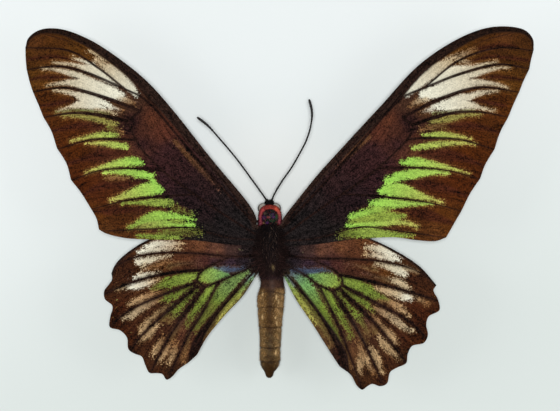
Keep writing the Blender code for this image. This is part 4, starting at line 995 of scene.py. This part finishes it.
def ground_colour(kind, plan):
    """The ground colour at each place, flowing softly from reading to reading."""
    total = np.zeros(len(plan))
    colour = np.zeros((len(plan), 3))
    for out, ahead, value in GROUNDS[kind]:
        weight = 1 / (np.hypot(plan[:, 0] - out, plan[:, 1] - ahead) + 0.8) ** 4
        total += weight
        colour += weight[:, None] * linear(value)
    return colour / total[:, None]


def paint_layers(strokes, plan):
    """Depth, colours above and below, dust and share from root to tip of the brush marks at each place."""
    depth = np.full(len(plan), OUTSIDE)
    total = np.zeros(len(plan))
    shades = np.zeros((2, len(plan), 3))
    dust = np.zeros(len(plan))
    tip = np.zeros(len(plan))
    for start, end, speck, points in strokes:
        if math.hypot(*points[-1][:2]) < math.hypot(*points[0][:2]):
            start, end, points = end, start, points[::-1]
        inside, share = stroke_depth(plan, points)
        weight = np.exp(np.clip(inside, -8, 3) / 0.3)
        total += weight
        for shade, first, last in zip(shades, PAINTS[start], PAINTS[end]):
            shade += weight[:, None] * (linear(first) + (linear(last) - linear(first)) * share[:, None])
        dust += weight * speck * (THIN_DUST if start in THIN_PAINTS else 1) * (1 + 1.2 * (2 * share - 1) ** 4)
        tip += weight * share
        depth = np.maximum(depth, inside)
    return depth, shades / total[:, None], dust / total, tip / total


def wing(kind, side, finish):
    """A wing: a fine grid given a wall, cut to the outline, then drawn up into veins and pleats."""
    table = WINGS[kind][side]
    name = f"wing_{kind}_{side}"
    sign = SIDES[side]
    rim = np.vstack([smooth_line(stretch, OUTLINE_STEP)[:-1] for stretch in table["outline"]])
    world = np.column_stack([AXIS_X + sign * rim[:, 0], rim[:, 1]])
    low, high = world.min(axis=0) - 0.5, world.max(axis=0) + 0.5
    cells = np.ceil((high - low) / SHEET_CELL).astype(int)

    deselect()
    bpy.ops.mesh.primitive_circle_add(vertices=len(rim), radius=1, fill_type="NGON")
    cutter = added(name + "_outline")
    set_places(cutter, np.column_stack([world, np.full(len(rim), -CUTTER_HALF)]))
    bpy.ops.object.mode_set(mode="EDIT")
    bpy.ops.mesh.select_all(action="SELECT")
    bpy.ops.mesh.extrude_region_move(TRANSFORM_OT_translate={"value": (0, 0, 2 * CUTTER_HALF * MM)})
    bpy.ops.object.mode_set(mode="OBJECT")
    finish_mesh(cutter)

    deselect()
    bpy.ops.mesh.primitive_grid_add(x_subdivisions=int(cells[0]), y_subdivisions=int(cells[1]), size=2 * MM)
    piece = added(name + "_scaled")
    corners = places_of(piece)
    set_places(piece, np.column_stack([(low + high) / 2 + corners[:, :2] * (high - low) / 2, np.zeros(len(corners))]))
    wall = piece.modifiers.new("wall", "SOLIDIFY")
    wall.thickness = SHEET_WALL * MM
    wall.offset = 0
    only(piece)
    bpy.ops.object.modifier_apply(modifier=wall.name)
    cut = piece.modifiers.new("outline", "BOOLEAN")
    cut.operation = "INTERSECT"
    cut.solver = "MANIFOLD"
    cut.object = cutter
    bpy.ops.object.modifier_apply(modifier=cut.name)
    bpy.data.objects.remove(cutter, do_unlink=True)
    finish_mesh(piece, merge=SHEET_MERGE)

    # Corners over and under one another share one place in the plan
    corners = places_of(piece)
    face = corners[:, 2] > 0
    both = np.column_stack([sign * (corners[:, 0] - AXIS_X), corners[:, 1]])
    _, first, back = np.unique(np.round(both, 3), axis=0, return_index=True, return_inverse=True)
    plan, back = both[first], back.reshape(-1)

    # Each place's order counts the cells from the front edge backwards, and the pleats follow it
    inked = np.full(len(plan), OUTSIDE)
    ridge = np.zeros(len(plan))
    front, front_share = nearest(plan, smooth_line(table["outline"][0], 2.0))
    around, _ = nearest(plan, np.vstack([rim, rim[:1]]), PLEAT_RUN + 0.5)
    total = 1 / (front + VEIN_NEAR) ** 2
    order = -total
    for label, points in table["veins"].items():
        gap, share = nearest(plan, smooth_line(points, 1.5), VEIN_REACH)
        inked = np.maximum(inked, spread(INK_WIDTHS[kind][label], share) - gap)
        ridge = np.maximum(ridge, np.clip(1 - (gap / VEIN_HALF) ** 2, 0, 1) * (1 - 0.6 * share))
        if label in VEIN_ORDER[kind]:
            gap, _ = nearest(plan, smooth_line(points, 4.0))
            weight = 1 / (gap + VEIN_NEAR) ** 2
            total += weight
            order += weight * VEIN_ORDER[kind].index(label)
    order /= total
    pleats = PLEAT * np.cos(WHOLE_TURN * order) * np.clip(around / PLEAT_RUN, 0, 1)
    thicker = (SHEET_HALF - SHEET_HALF_AT_RIM) * np.clip(around / RIM_RUN, 0, 1)
    half = SHEET_HALF_AT_RIM + thicker + VEIN_RAISED * ridge
    height = (wing_height(kind, *plan.T) + pleats)[back] + np.where(face, half[back], -half[back])
    set_places(piece, np.column_stack([corners[:, :2], height]))
    finish_mesh(piece, angle=SHEET_CREASE)

    depth, shades, dust, tip = paint_layers(table["strokes"], plan)
    wedge = np.full(len(plan), OUTSIDE)
    fold = np.full(len(plan), OUTSIDE)
    for points in table["folds"]:
        wedge = np.maximum(wedge, stroke_depth(plan, points)[0])
        gap, _ = nearest(plan, smooth_line(points, 1.0)[:, :2], VEIN_REACH)
        fold = np.maximum(fold, FOLD_HALF[kind] - gap)
    band = spread(COSTAL_WIDTHS[kind], front_share) - front
    reach = np.clip(plan[:, 0] / COSTAL_FADE, 0, 1)[:, None]
    costal = linear(COSTAL[0]) * (1 - reach) + linear(COSTAL[1]) * reach
    along = np.hypot(plan[:, 0], plan[:, 1] - FLOW_AHEAD)
    flow = np.column_stack([order[back] * STREAKS_ACROSS, along[back] / STREAK_LENGTH, face * STREAKS_APART])
    painted = np.where(face[:, None], shades[0][back], shades[1][back])
    for label, values in zip(WING_COLOURS, (ground_colour(kind, plan)[back], painted, costal[back])):
        store(piece, label, "FLOAT_COLOR", values)
    for label, values in zip(WING_MARKS, (depth, dust, tip, wedge, fold, inked, band)):
        store(piece, label, "FLOAT", values[back])
    store(piece, "flow", "FLOAT_VECTOR", flow)
    declare(piece, finish, f"{kind}wing_scale", name)


# Body


def body_profile():
    """The body's rings from nose to tail, their coat's depth taken off."""
    lines = [smooth_line(part, step) for part, step in ((HEAD, 0.1), (COLLAR, 0.1), (THORAX, 0.2), (ABDOMEN, 0.2))]
    line = np.vstack(lines)
    line = line[np.argsort(-line[:, 0], kind="stable")]
    depths = np.array(COAT_DEPTHS)
    coat = np.interp(line[:, 0], depths[:, 0], depths[:, 1])
    line[:, 1] -= coat
    line[:, 2] -= coat
    tips = line[[0, -1]] + np.array([[0.05, 0, 0, 0, 0], [-0.1, 0, 0, 0, 0]])
    tips[:, 1:3] = 0
    line = np.vstack([tips[:1], line, tips[1:]])
    run = np.concatenate([[0], np.cumsum(np.hypot(np.diff(line[:, 0]), np.diff(line[:, 1])))])
    return run / run[-1], line


def joint_gap(ahead, sideways, joint):
    """How far behind the end of a segment each place lies; sideways is 0 on the back and 1 at the flanks."""
    return joint[0] + joint[1] * sideways**2 - ahead


def arch_reach(places, radii):
    """How far out from the middle of the red arch each place lies, 1 on a full round of these radii."""
    across = np.abs(places[:, 0] - AXIS_X) / radii[0]
    along = np.abs(places[:, 1] - ARCH_AHEAD) / radii[1]
    return (across**ARCH_SQUARE + along**ARCH_SQUARE) ** (1 / ARCH_SQUARE)


def body_surface(profile, share, angle):
    """Places on the skin: share from nose to tail, angle from the right over the back."""
    run, line = profile
    ahead, wide, tall, centre, aside = (np.interp(share, run, column) for column in line.T)
    lip = np.zeros(len(ahead))
    for joint in SEGMENT_JOINTS:
        behind = joint_gap(ahead, np.cos(angle), joint)
        lip += np.where(behind < 0, LIP_HEIGHT * np.clip(1 + behind / LIP_RUN, 0, 1),
                        -GROOVE_DEPTH * np.exp(-np.clip(behind, 0, 9) / GROOVE_RUN))
    lip *= np.clip(wide, 0, 1)
    places = np.column_stack([AXIS_X + aside + (wide + lip) * np.cos(angle), ahead,
                              centre + (tall + lip) * np.sin(angle)])
    dome = DOME_BASE + DOME_RISE * np.sqrt(np.clip(1 - arch_reach(places, DOME_RADII) ** 2, 0, 1))
    rise = np.clip(np.sin(angle) / 0.5, 0, 1)
    places[:, 2] += np.clip(dome - places[:, 2], 0, 9) * rise**2 * (3 - 2 * rise) * (dome > DOME_BASE)
    return places


def back_places(profile, aside, ahead):
    """The shares and angles at which the back lies under plan places."""
    run, line = profile
    share = np.interp(-ahead, -line[:, 0], run)
    wide, shift = (np.interp(share, run, line[:, i]) for i in (1, 4))
    return share, np.arccos(np.clip((aside - shift) / wide, -0.98, 0.98))


def body_normals(profile, share, angle):
    step = 0.003
    along = body_surface(profile, np.clip(share + step, 0, 1), angle) - body_surface(
        profile, np.clip(share - step, 0, 1), angle)
    around = body_surface(profile, share, angle + 0.02) - body_surface(profile, share, angle - 0.02)
    normal = np.cross(around, along)
    return normal / np.maximum(np.linalg.norm(normal, axis=1), 1e-9)[:, None]


def spot_reach(places, aside, ahead, wide, long):
    """How far from the middle of a soft spot each place lies, squared, 1 at its rim."""
    return ((places[:, 0] - AXIS_X - aside) / wide) ** 2 + ((places[:, 1] - ahead) / long) ** 2


def body_colour(places):
    """The body's markings, the same for the skin and its coat."""
    ahead = places[:, 1]
    aside = places[:, 0] - AXIS_X
    off_middle = np.abs(aside)
    colour = np.repeat(linear(BLACK_FUR)[None], len(places), axis=0)

    def lay(mask, paint):
        nonlocal colour
        mask = np.clip(mask, 0, 1).reshape(-1, 1)
        colour = colour * (1 - mask) + linear(paint) * mask

    # The thorax, browner towards the waist, which has a violet sheen
    lay((-9 - ahead) / 10, (44, 32, 31))
    lay((-19.4 - ahead) / 2, (62, 40, 30))
    lay(np.exp(-((ahead + 20.6) / 0.8) ** 2) * 0.6, (58, 42, 52))

    # The abdomen, paler at the flanks, partly its own pale scales and partly a painted highlight, the right one palest
    # where the painted highlight is strongest, dark down the back
    abdomen = np.clip((-24.0 - ahead) / 2.5, 0, 1)
    mottled = 0.5 + 0.3 * np.sin(ahead * 2.3 + aside * 1.7) + 0.2 * np.sin(ahead * 5.9 - aside * 4.1 + 1)
    lay(abdomen, (76, 51, 20))
    # Paler flanks: partly the scales' own colour, partly painted highlight; the right flank is painted paler than the
    # left, as if lit from that side
    lay(abdomen * (off_middle - 1.0) / 1.2, (114, 82, 41))
    lay(abdomen * (off_middle - 1.6) * (aside > 0) * mottled, (150, 118, 76))
    lay(abdomen * (off_middle - 1.8) * (aside < 0) * mottled, (136, 104, 62))
    lay(abdomen * (1 - np.abs(aside + 0.2) / 1.3) * 0.7 * mottled, (58, 38, 16))
    lay(abdomen * np.clip((-36 - ahead) / 3, 0, 1) * 0.45 * (1 - mottled), (92, 80, 52))

    # Pale blotches, painted highlights that are stronger on the right flank, dark blotches, and painted highlight
    # glints over it
    # Painted highlights: pale blotches on the flanks, stronger on the right
    light = np.clip(np.sin(ahead * 7.1 + aside * 5.3) * np.sin(ahead * 3.7 - aside * 8.9) - 0.4, 0, 1)
    lay(abdomen * light * (off_middle - 0.4) * np.where(aside > 0, 1.8, 1.3), (190, 156, 110))
    dark = np.sin(ahead * 5.3 - aside * 6.1 + 2) * np.sin(ahead * 2.9 + aside * 7.7)
    lay(abdomen * (dark - 0.3) * 1.1, (52, 33, 14))
    # Painted highlights: pale glints laid on the flanks
    for painted_glint in PAINTED_GLINTS:
        lay((1.2 - spot_reach(places, *painted_glint)) * (places[:, 2] > 6) * 0.7, (222, 188, 134))

    # The belly, the dark tail and the dark line behind each segment
    lay(abdomen * (4.6 - places[:, 2]) / 1.5, (118, 94, 60))
    lay((-44.6 - ahead) / 5, (54, 33, 9))
    for joint in SEGMENT_JOINTS:
        behind = joint_gap(ahead, np.clip(aside / 3.5, -1, 1), joint)
        lay(0.85 * np.exp(-((behind - 0.1) / 0.22) ** 2), (40, 24, 14))

    # The skin under the red arch, and the spots
    ring = np.clip((arch_reach(places, ARCH_INNER) - 0.95) * 8, 0, 1) * np.clip(
        (1.0 - arch_reach(places, ARCH_OUTER)) * 8, 0, 1)
    back = np.clip((places[:, 2] - 9.0) / 0.6, 0, 1)
    lay(ring * back * (ahead < 0.3) * (ahead > -4.9), (130, 38, 36))
    for *spot, paint in BODY_SPOTS:
        lay(np.clip(1.4 - spot_reach(places, *spot), 0, 1) * (places[:, 2] > 9) * 0.75, paint)
    return colour


def body_skin(profile, finish):
    deselect()
    bpy.ops.mesh.primitive_uv_sphere_add(segments=SKIN_SIDES, ring_count=SKIN_RINGS, radius=1)
    piece = added("body_skin")
    corners = places_of(piece) * MM
    share = np.round(np.arccos(np.clip(corners[:, 2], -1, 1)) / np.pi * SKIN_RINGS) / SKIN_RINGS
    angle = np.arctan2(corners[:, 1], corners[:, 0])
    set_places(piece, body_surface(profile, share, angle))
    finish_mesh(piece, merge=0.001)
    store(piece, "marking", "FLOAT_COLOR", body_colour(places_of(piece)))
    declare(piece, finish, "black_hair", "head", "collar", "thorax", "abdomen")


def tufts(name, share, angle, roots, normals, lays, lengths, widths, lifts, curl, colours, finish, slot):
    """Thin closed locks of hair in one mesh, each a bent spike; share and angle say where on the skin it grows."""
    count = len(roots)
    lays = lays - normals * np.sum(lays * normals, axis=1)[:, None]
    lays /= np.maximum(np.linalg.norm(lays, axis=1), 1e-9)[:, None]
    rising = normals * np.sin(lifts)[:, None] + lays * np.cos(lifts)[:, None]
    bent = lifts - curl
    falling = normals * np.sin(bent)[:, None] + lays * np.cos(bent)[:, None]
    side = np.cross(rising, normals)
    side /= np.maximum(np.linalg.norm(side, axis=1), 1e-9)[:, None]
    over = np.cross(side, rising)
    half = lengths[:, None] / 2
    middle = roots + rising * half
    tip = middle + falling * half
    size, faces = len(TUFT_PATCH), count * len(TUFT_FACES)
    corners = np.empty((count, size, 3))
    for i, turn in enumerate((0, WHOLE_TURN / 3, 2 * WHOLE_TURN / 3)):
        ring = (math.cos(turn) * side + math.sin(turn) * over * TUFT_FLAT) * widths[:, None]
        corners[:, i] = roots + ring - normals * TUFT_SUNK
        corners[:, 3 + i] = middle + ring * TUFT_TAPER
    corners[:, 6] = tip
    loops = (np.arange(count)[:, None, None] * size + np.array(TUFT_FACES)).reshape(-1)
    mesh = bpy.data.meshes.new(name)
    mesh.vertices.add(count * size)
    mesh.vertices.foreach_set("co", (corners * MM).ravel())
    mesh.loops.add(len(loops))
    mesh.loops.foreach_set("vertex_index", loops)
    mesh.polygons.add(faces)
    mesh.polygons.foreach_set("loop_start", np.arange(faces) * 3)
    mesh.update(calc_edges=True)
    piece = bpy.data.objects.new(name, mesh)
    bpy.context.scene.collection.objects.link(piece)
    layer = mesh.uv_layers.new(name="OFBake")
    unwrap = np.column_stack([0.02 + 0.96 * (angle % WHOLE_TURN) / WHOLE_TURN, 0.02 + 0.96 * share])
    spots = unwrap[:, None] + np.array(TUFT_PATCH) * PATCH_HALF
    layer.data.foreach_set("uv", spots.reshape(-1, 2)[loops].ravel())
    mesh.polygons.foreach_set("use_smooth", np.ones(faces, bool))
    store(piece, "marking", "FLOAT_COLOR", np.repeat(colours, size, axis=0))
    only(piece)
    declare(piece, finish, slot)


def scatter(profile, rng, count, start, end):
    """Random places on the skin between two lengths ahead, evenly over its surface."""
    run, line = profile
    tries = rng.uniform(0, 1, count * TRIES)
    ahead = np.interp(tries, run, line[:, 0])
    wide = np.interp(tries, run, line[:, 1] + line[:, 2])
    keep = (ahead <= start) & (ahead >= end) & (rng.uniform(0, WIDEST, len(tries)) < wide)
    share = tries[keep][:count]
    return share, rng.uniform(0, WHOLE_TURN, len(share))


def coat(name, profile, rng, finish, slot, count, start, end, length, width, lift, curl, lay=(0, -1, 0), tone=0.25,
         keep=None, flecks=()):
    """A coat over a stretch of the body; some tufts take another colour, by their share."""
    share, angle = scatter(profile, rng, count, start, end)
    roots = body_surface(profile, share, angle)
    if keep is not None:
        wanted = keep(roots)
        share, angle, roots = share[wanted], angle[wanted], roots[wanted]
    normals = body_normals(profile, share, angle)
    lays = np.repeat(np.array([lay], float), len(roots), axis=0) + rng.normal(0, 0.22, roots.shape)
    lengths = rng.uniform(0.65, 1.3, len(roots)) * length
    widths = rng.uniform(0.7, 1.2, len(roots)) * width
    lifts = np.clip(rng.normal(lift, 0.15, len(roots)), 0.05, 1.3)
    colours = body_colour(roots)
    for part, paint in flecks:
        colours[rng.uniform(0, 1, len(roots)) < part] = linear(paint)
    colours *= rng.uniform(1 - tone, 1 + tone, len(roots))[:, None]
    tufts(name, share, angle, roots, normals, lays, lengths, widths, lifts, curl, colours, finish, slot)


def arch_coat(profile, rng, finish):
    """The red arch: short thick hair that stands out all round the front of the dome and over the head."""
    count = ARCH_TUFTS
    turn = rng.uniform(*np.radians((ARCH_TURNS[0], ARCH_TURNS[-1])), count)
    part = rng.uniform(0, 1, count)
    across, along = np.cos(turn), np.sin(turn)
    across = np.where(along < 0, np.sign(across), np.sign(across) * np.abs(across) ** (2 / ARCH_SQUARE))
    along = np.sign(along) * np.abs(along) ** (2 / ARCH_SQUARE)
    tip_aside = across * np.interp(part, (0, 1), (ARCH_INNER[0] + 0.5, ARCH_OUTER[0]))
    tip_ahead = ARCH_AHEAD + along * np.interp(part, (0, 1), (ARCH_INNER[1] + 0.4, ARCH_OUTER[1]))
    share, angle = back_places(profile, tip_aside - 0.6 * across, tip_ahead - 0.6 * np.maximum(along, 0))
    angle = np.clip(angle, math.acos(0.8), math.acos(-0.8))
    roots = body_surface(profile, share, angle)
    lays = np.column_stack([AXIS_X + tip_aside - roots[:, 0], tip_ahead - roots[:, 1], np.zeros(count)])
    lengths = np.clip(np.hypot(lays[:, 0], lays[:, 1]) * 1.1, 0.5, 2.6) * rng.uniform(0.9, 1.1, count)
    lays += rng.normal(0, 0.12, (count, 3))
    paints = np.column_stack([np.interp(turn, np.radians(ARCH_TURNS), values) for values in zip(*ARCH_PAINTS)])
    colours = linear(paints) * rng.uniform(0.5, 1.4, count)[:, None] * np.interp(
        part, (0, 0.15, 0.5), (0.5, 0.8, 1))[:, None]
    widths = rng.uniform(0.05, 0.085, count)
    lifts = np.clip(rng.normal(0.35, 0.15, count), 0.05, 1.0)
    tufts("collar_fur", share, angle, roots, UPRIGHT, lays, lengths, widths, lifts, 0.75, colours, finish, "red_hair")


def shoulder_hair(profile, rng, finish):
    """Long hair from the shoulders of the thorax, spread outwards and back over the roots of the wings."""
    share, angle = scatter(profile, rng, SHOULDER_TUFTS, -4.8, -20.3)
    side = np.where(np.cos(angle) < 0, -1, 1)
    angle = np.arccos(side * rng.uniform(0.3, 0.97, len(share)))
    roots = body_surface(profile, share, angle)

    def sheet(places):
        out, ahead = np.abs(places[:, 0] - AXIS_X), places[:, 1]
        return np.where(ahead < -11.3, wing_height("hind", out, ahead), wing_height("fore", out, ahead))

    keep = roots[:, 2] > sheet(roots) + 0.1
    share, angle, side, roots = share[keep], angle[keep], side[keep], roots[keep]
    count = len(roots)
    heading = np.interp(-roots[:, 1], (5, 11, 16, 20), (-0.35, 0.0, 0.25, 0.8)) + rng.normal(0, 0.4, count)
    lays = np.column_stack([side * np.cos(heading), -np.sin(heading), np.zeros(count)])
    lengths = np.interp(-roots[:, 1], (5, 9, 12, 17, 20), (1.2, 1.7, 1.3, 1.5, 1.5)) * np.minimum(
        0.35 + rng.exponential(0.6, count), 3.5)
    widths = rng.uniform(0.025, 0.05, count)
    rise = (sheet(roots + lays * lengths[:, None]) + 0.3 - roots[:, 2]) / lengths
    lifts = np.maximum(rng.normal(0.3, 0.12, count), np.arcsin(np.clip(rise, -0.5, 0.9)) + 0.2)
    tone = np.interp(-roots[:, 1], (8, 18), (0.15, 0.8))[:, None] * rng.uniform(0, 1, (count, 1)) ** 3
    colours = (linear((22, 17, 17)) * (1 - tone) + linear((96, 66, 60)) * tone) * rng.uniform(0.6, 1.4, (count, 1))
    pale = rng.uniform(0, 1, count) < 0.008
    colours[pale] = linear((186, 176, 170))
    lengths[pale] = 0.45
    widths[pale] = 0.13
    tufts("shoulder_hair", share, angle, roots, UPRIGHT, lays, lengths, widths, lifts, 0.4, colours, finish,
          "black_hair")


def hair_finish(name, roughness, specular, streak=0.3, patch=0.0005):
    made, tree, shader, place = material(name, roughness, specular)
    tone = noise(tree, place, patch, 3.0)
    scale = math_of(tree, "MULTIPLY_ADD", math_of(tree, "SUBTRACT", tone, 0.5), 2 * streak, 1.0)
    tree.links.new(scaled(tree, attribute(tree, "marking", "Color"), scale), shader.inputs["Base Color"])
    bump(tree, shader, noise(tree, place, 0.0002), 0.4, 0.00008)
    return made


def horn_finish():
    made, tree, shader, place = material("black horn", 0.5, 0.2)
    tone = noise(tree, place, 3 * HORN_GRAIN, 3.0)
    darker, paler = (flat_colour([share * part for part in HORN]) for share in (0.7, 1.25))
    tree.links.new(mixed(tree, tone, darker, paler), shader.inputs["Base Color"])
    tree.links.new(ramp(tree, tone, 0.2, 0.8, 0.4, 0.6), shader.inputs["Roughness"])
    bump(tree, shader, noise(tree, place, HORN_GRAIN), 0.3, 0.00005)
    return made


def eye_finish():
    """The eye: glossy, with a pale painted highlight where it faces the camera and dark round its rim, under fine
    facets.
    """
    made, tree, shader, place = material("eye gloss and painted highlight", 0.2, 0.4)
    # Painted highlight: the colour is pale where the surface faces the camera and dark towards its rim
    rim = ramp(tree, wire(tree, "ShaderNodeLayerWeight", {"Blend": 0.5}).outputs["Facing"], 0.3, 0.62)
    tone = noise(tree, place, 0.0006)
    base = mixed(tree, tone, flat_colour((126, 116, 106)), flat_colour((186, 176, 166)))
    tree.links.new(mixed(tree, rim, base, flat_colour((44, 34, 30))), shader.inputs["Base Color"])
    facets = wire(tree, "ShaderNodeTexVoronoi", {"Vector": place, "Scale": 1 / EYE_FACET}).outputs["Distance"]
    bump(tree, shader, facets, 0.3, 0.00002)
    return made


# Small parts


def eye(side, finish):
    deselect()
    bpy.ops.mesh.primitive_uv_sphere_add(segments=40, ring_count=24, radius=EYE_RADIUS * MM,
                                         location=Vector(place_on(side, *EYE_PLACE, HEAD_ASIDE)) * MM)
    piece = added(f"eye_{side}_faceted")
    finish_mesh(piece)
    declare(piece, finish, "eye", f"eye_{side}")


def antenna(side, finish):
    """A beaded antenna with a club at its end."""
    line = smooth_line(ANTENNAE[side], 0.14)
    share = np.linspace(0, 1, len(line))
    club = np.clip((share - CLUB_START) / CLUB_RUN, 0, 1)
    radii = ANTENNA_RADIUS + CLUB_SWELL * np.sin(np.pi * np.minimum(club, 0.8) / 1.6)
    radii[-3:] = radii[-3:] * (0.9, 0.65, 0.3)
    beads = 1 + BEAD_DEPTH * np.cos(WHOLE_TURN * ANTENNA_BEADS * share)
    declare(rod(f"antenna_{side}_ringed", side, line, radii * beads), finish, "black_horn", f"antenna_{side}")


def palp(side, finish):
    line = smooth_line(PALP, 0.15)
    radii = spread(PALP_RADII, np.linspace(0, 1, len(line)))
    piece = rod(f"palp_{side}_haired", side, line, radii, HEAD_ASIDE, 14)
    declare(piece, finish, "black_hair", f"palp_{side}")


def proboscis(finish):
    """The coiled tongue, ringed all along, with a stalk that leads up into the head."""
    ahead, height = COIL_PLACE
    turns = np.linspace(0, COIL_TURNS, COIL_STEPS)
    radii = COIL_INNER + COIL_PITCH * turns
    angles = WHOLE_TURN * (turns - COIL_TURNS)
    line = [(0, ahead + r * math.cos(a), height + r * math.sin(a)) for r, a in zip(radii, angles)]
    outer = ahead + radii[-1]
    stalk = [(0, outer - 0.1, height + 0.9), (0, outer - 0.8, height + 2.2), (0, outer - 1.4, height + 3.2)]
    line = np.vstack([line, smooth_line([line[-1], *stalk], 0.1)[1:]])
    count = len(line)
    rings = 1 + 0.05 * np.cos(np.arange(count) * np.pi / 1.5)
    thick = COIL_TUBE * (0.55 + 0.45 * np.linspace(0, 1, count)) * rings
    declare(rod("proboscis_coiled", None, line, thick, HEAD_ASIDE), finish, "black_horn", "proboscis")


def leg(pair, side, finish):
    """A leg: thigh, shin, five-jointed foot and two claws, thin at each joint."""
    line = smooth_line(LEGS[pair], 0.18)
    line[:, 2] = np.maximum(line[:, 2], FOOT_HEIGHT)
    share = np.linspace(0, 1, len(line))
    hip, knee, ankle = (float(share[np.argmin(np.linalg.norm(line - np.array(LEGS[pair][i]), axis=1))])
                        for i in (1, 3, 5))
    radii = np.interp(share, (0, hip, hip + 0.03, (hip + knee) / 2, knee - 0.02, knee, knee + 0.03,
                              (knee + ankle) / 2, ankle - 0.01, ankle, 1),
                      (0.62, 0.6, 0.42, 0.52, 0.34, 0.26, 0.3, 0.32, 0.34, 0.24, 0.2))
    foot = share > ankle
    part = (share[foot] - ankle) / (1 - ankle) * 5
    radii[foot] = 0.17 + 0.07 * (part % 1) ** 2
    name = f"leg_{pair}_{side}"
    pieces = [rod(f"{name}_jointed", side, line, radii, sides=14)]
    toe = line[-1]
    heading = toe - line[-4]
    heading /= np.linalg.norm(heading)
    beside = np.cross(heading, (0, 0, 1))
    for turn in (-1, 1):
        claw = smooth_line([toe - heading * 0.2, toe + heading * 0.25 + beside * turn * 0.16 + (0, 0, 0.08),
                            toe + heading * 0.45 + beside * turn * 0.26 - (0, 0, 0.16)], 0.08)
        pieces.append(rod("claw", side, claw, np.linspace(0.08, 0.015, len(claw)), sides=8))
    declare(joined(f"{name}_jointed", pieces), finish, "black_horn", name)


# Floor, light and camera


def stage_floor():
    """A pale floor with painted light: lighter towards the far side, a painted falloff of the light, and a painted
    pool of light round the head.
    """
    deselect()
    bpy.ops.mesh.primitive_plane_add(size=FLOOR_SIDE)
    floor = added("floor")
    made, tree, shader, place = material("pale floor", 0.9, 0.1)
    axes = wire(tree, "ShaderNodeSeparateXYZ", {0: place}).outputs
    # Painted light falloff: the floor is painted lighter towards the far side
    painted_falloff = ramp(tree, math_of(tree, "MULTIPLY_ADD", axes["X"], -0.198, axes["Y"]), -0.062, 0.052)
    colour = mixed(tree, painted_falloff, flat_colour((214, 222, 219)), flat_colour((233, 239, 239)))
    # Painted pool of light round the head, lifting the shade that the wings cast there
    painted_pool_reach = wire(tree, "ShaderNodeVectorMath", {0: place, 1: (-0.003, 0.006, 0)}, operation="DISTANCE")
    colour = mixed(tree, ramp(tree, painted_pool_reach.outputs["Value"], 0.008, 0.03, 0.35, 0.0), colour,
                   flat_colour((250, 250, 246)))
    tree.links.new(colour, shader.inputs["Base Color"])
    floor.data.materials.append(made)


def add_light(name, kind, energy, location, rotation, **settings):
    data = bpy.data.lights.new(name, kind)
    data.energy = energy
    for label, value in settings.items():
        setattr(data, label, value)
    lamp = bpy.data.objects.new(name, data)
    lamp.location = location
    lamp.rotation_euler = rotation
    bpy.context.scene.collection.objects.link(lamp)


def light_and_camera():
    world = bpy.data.worlds.new("studio")
    world.use_nodes = True
    around = world.node_tree.nodes["Background"].inputs
    around["Color"].default_value = (1, 1, 1, 1)
    around["Strength"].default_value = 0.13
    bpy.context.scene.world = world
    add_light("overhead", "SUN", 2.37, (0, 0, 1), (0, 0, 0), angle=math.radians(10))
    for sign in (-1, 1):
        add_light(f"softbox_{sign}", "AREA", 0.35, (sign * 0.35, -0.02, 0.2), (0, sign * math.radians(62), 0),
                  size=0.25)
    data = bpy.data.cameras.new("camera")
    data.lens = SENSOR_WIDTH * (CAMERA_HEIGHT - SEEN_HEIGHT) / SEEN_WIDTH
    data.sensor_width = SENSOR_WIDTH
    camera = bpy.data.objects.new("camera", data)
    camera.location = (0, CAMERA_AHEAD, CAMERA_HEIGHT)
    bpy.context.scene.collection.objects.link(camera)
    bpy.context.scene.camera = camera
    bpy.context.scene.view_settings.view_transform = "Standard"


def build():
    rng = np.random.default_rng(SEED)
    grain, paint = make_grain(), make_paint()
    fore = wing_finish("forewing scales", grain, paint, (128, 88, 44), 0.15)
    hind = wing_finish("hindwing scales", grain, paint, (104, 70, 40), 0.5)
    for side in SIDES:
        wing("fore", side, fore)
        wing("hind", side, hind)
    fur = hair_finish("black fur", 0.85, 0.02)
    red_fur = hair_finish("red fur", 0.75, 0.05)
    scales = hair_finish("abdomen scales", 0.4, 0.12, 0.9, 0.0014)
    profile = body_profile()
    body_skin(profile, hair_finish("body skin", 0.5, 0.1, 0.9, 0.0014))
    coat("thorax_fur", profile, rng, fur, "black_hair", count=16000, start=-4.4, end=-20.8, length=1.8, width=0.06,
         lift=0.45, curl=0.35, tone=0.5, flecks=((0.12, (70, 52, 44)), (0.02, (120, 100, 88))))
    coat("dome_fur", profile, rng, fur, "black_hair", count=15000, start=0.4, end=-5.2, length=0.5, width=0.055,
         lift=0.4, curl=0.3, tone=0.6,
         keep=lambda roots: (arch_reach(roots, ARCH_INNER) < 1) | (roots[:, 2] < DOME_BASE),
         flecks=((0.05, (96, 40, 84)), (0.05, (40, 84, 60)), (0.04, (150, 66, 60)), (0.03, (96, 90, 84))))
    arch_coat(profile, rng, red_fur)
    shoulder_hair(profile, rng, fur)
    coat("head_fur", profile, rng, fur, "black_hair", count=6000, start=2.4, end=-0.6, length=0.6, width=0.045,
         lift=0.8, curl=0.3, lay=(0, 0.6, 0.3),
         keep=lambda roots: (arch_reach(roots, ARCH_OUTER) > 0.9) | (roots[:, 2] < 9.4))
    coat("abdomen_scales", profile, rng, scales, "brown_scale", count=11000, start=-20.6, end=-51.8, length=0.45,
         width=0.07, lift=0.1, curl=0.1, tone=0.8)
    coat("abdomen_fringe", profile, rng, scales, "brown_scale", count=8000, start=-20.6, end=-50.5, length=0.75,
         width=0.022, lift=0.6, curl=0.3, tone=0.5, keep=lambda roots: np.abs(roots[:, 0] - AXIS_X) > 2.4)
    horn = horn_finish()
    eye_gloss_and_highlight = eye_finish()
    for side in SIDES:
        eye(side, eye_gloss_and_highlight)
        antenna(side, horn)
        palp(side, horn)
        for pair in LEGS:
            leg(pair, side, horn)
    proboscis(horn)
    stage_floor()
    light_and_camera()


build()
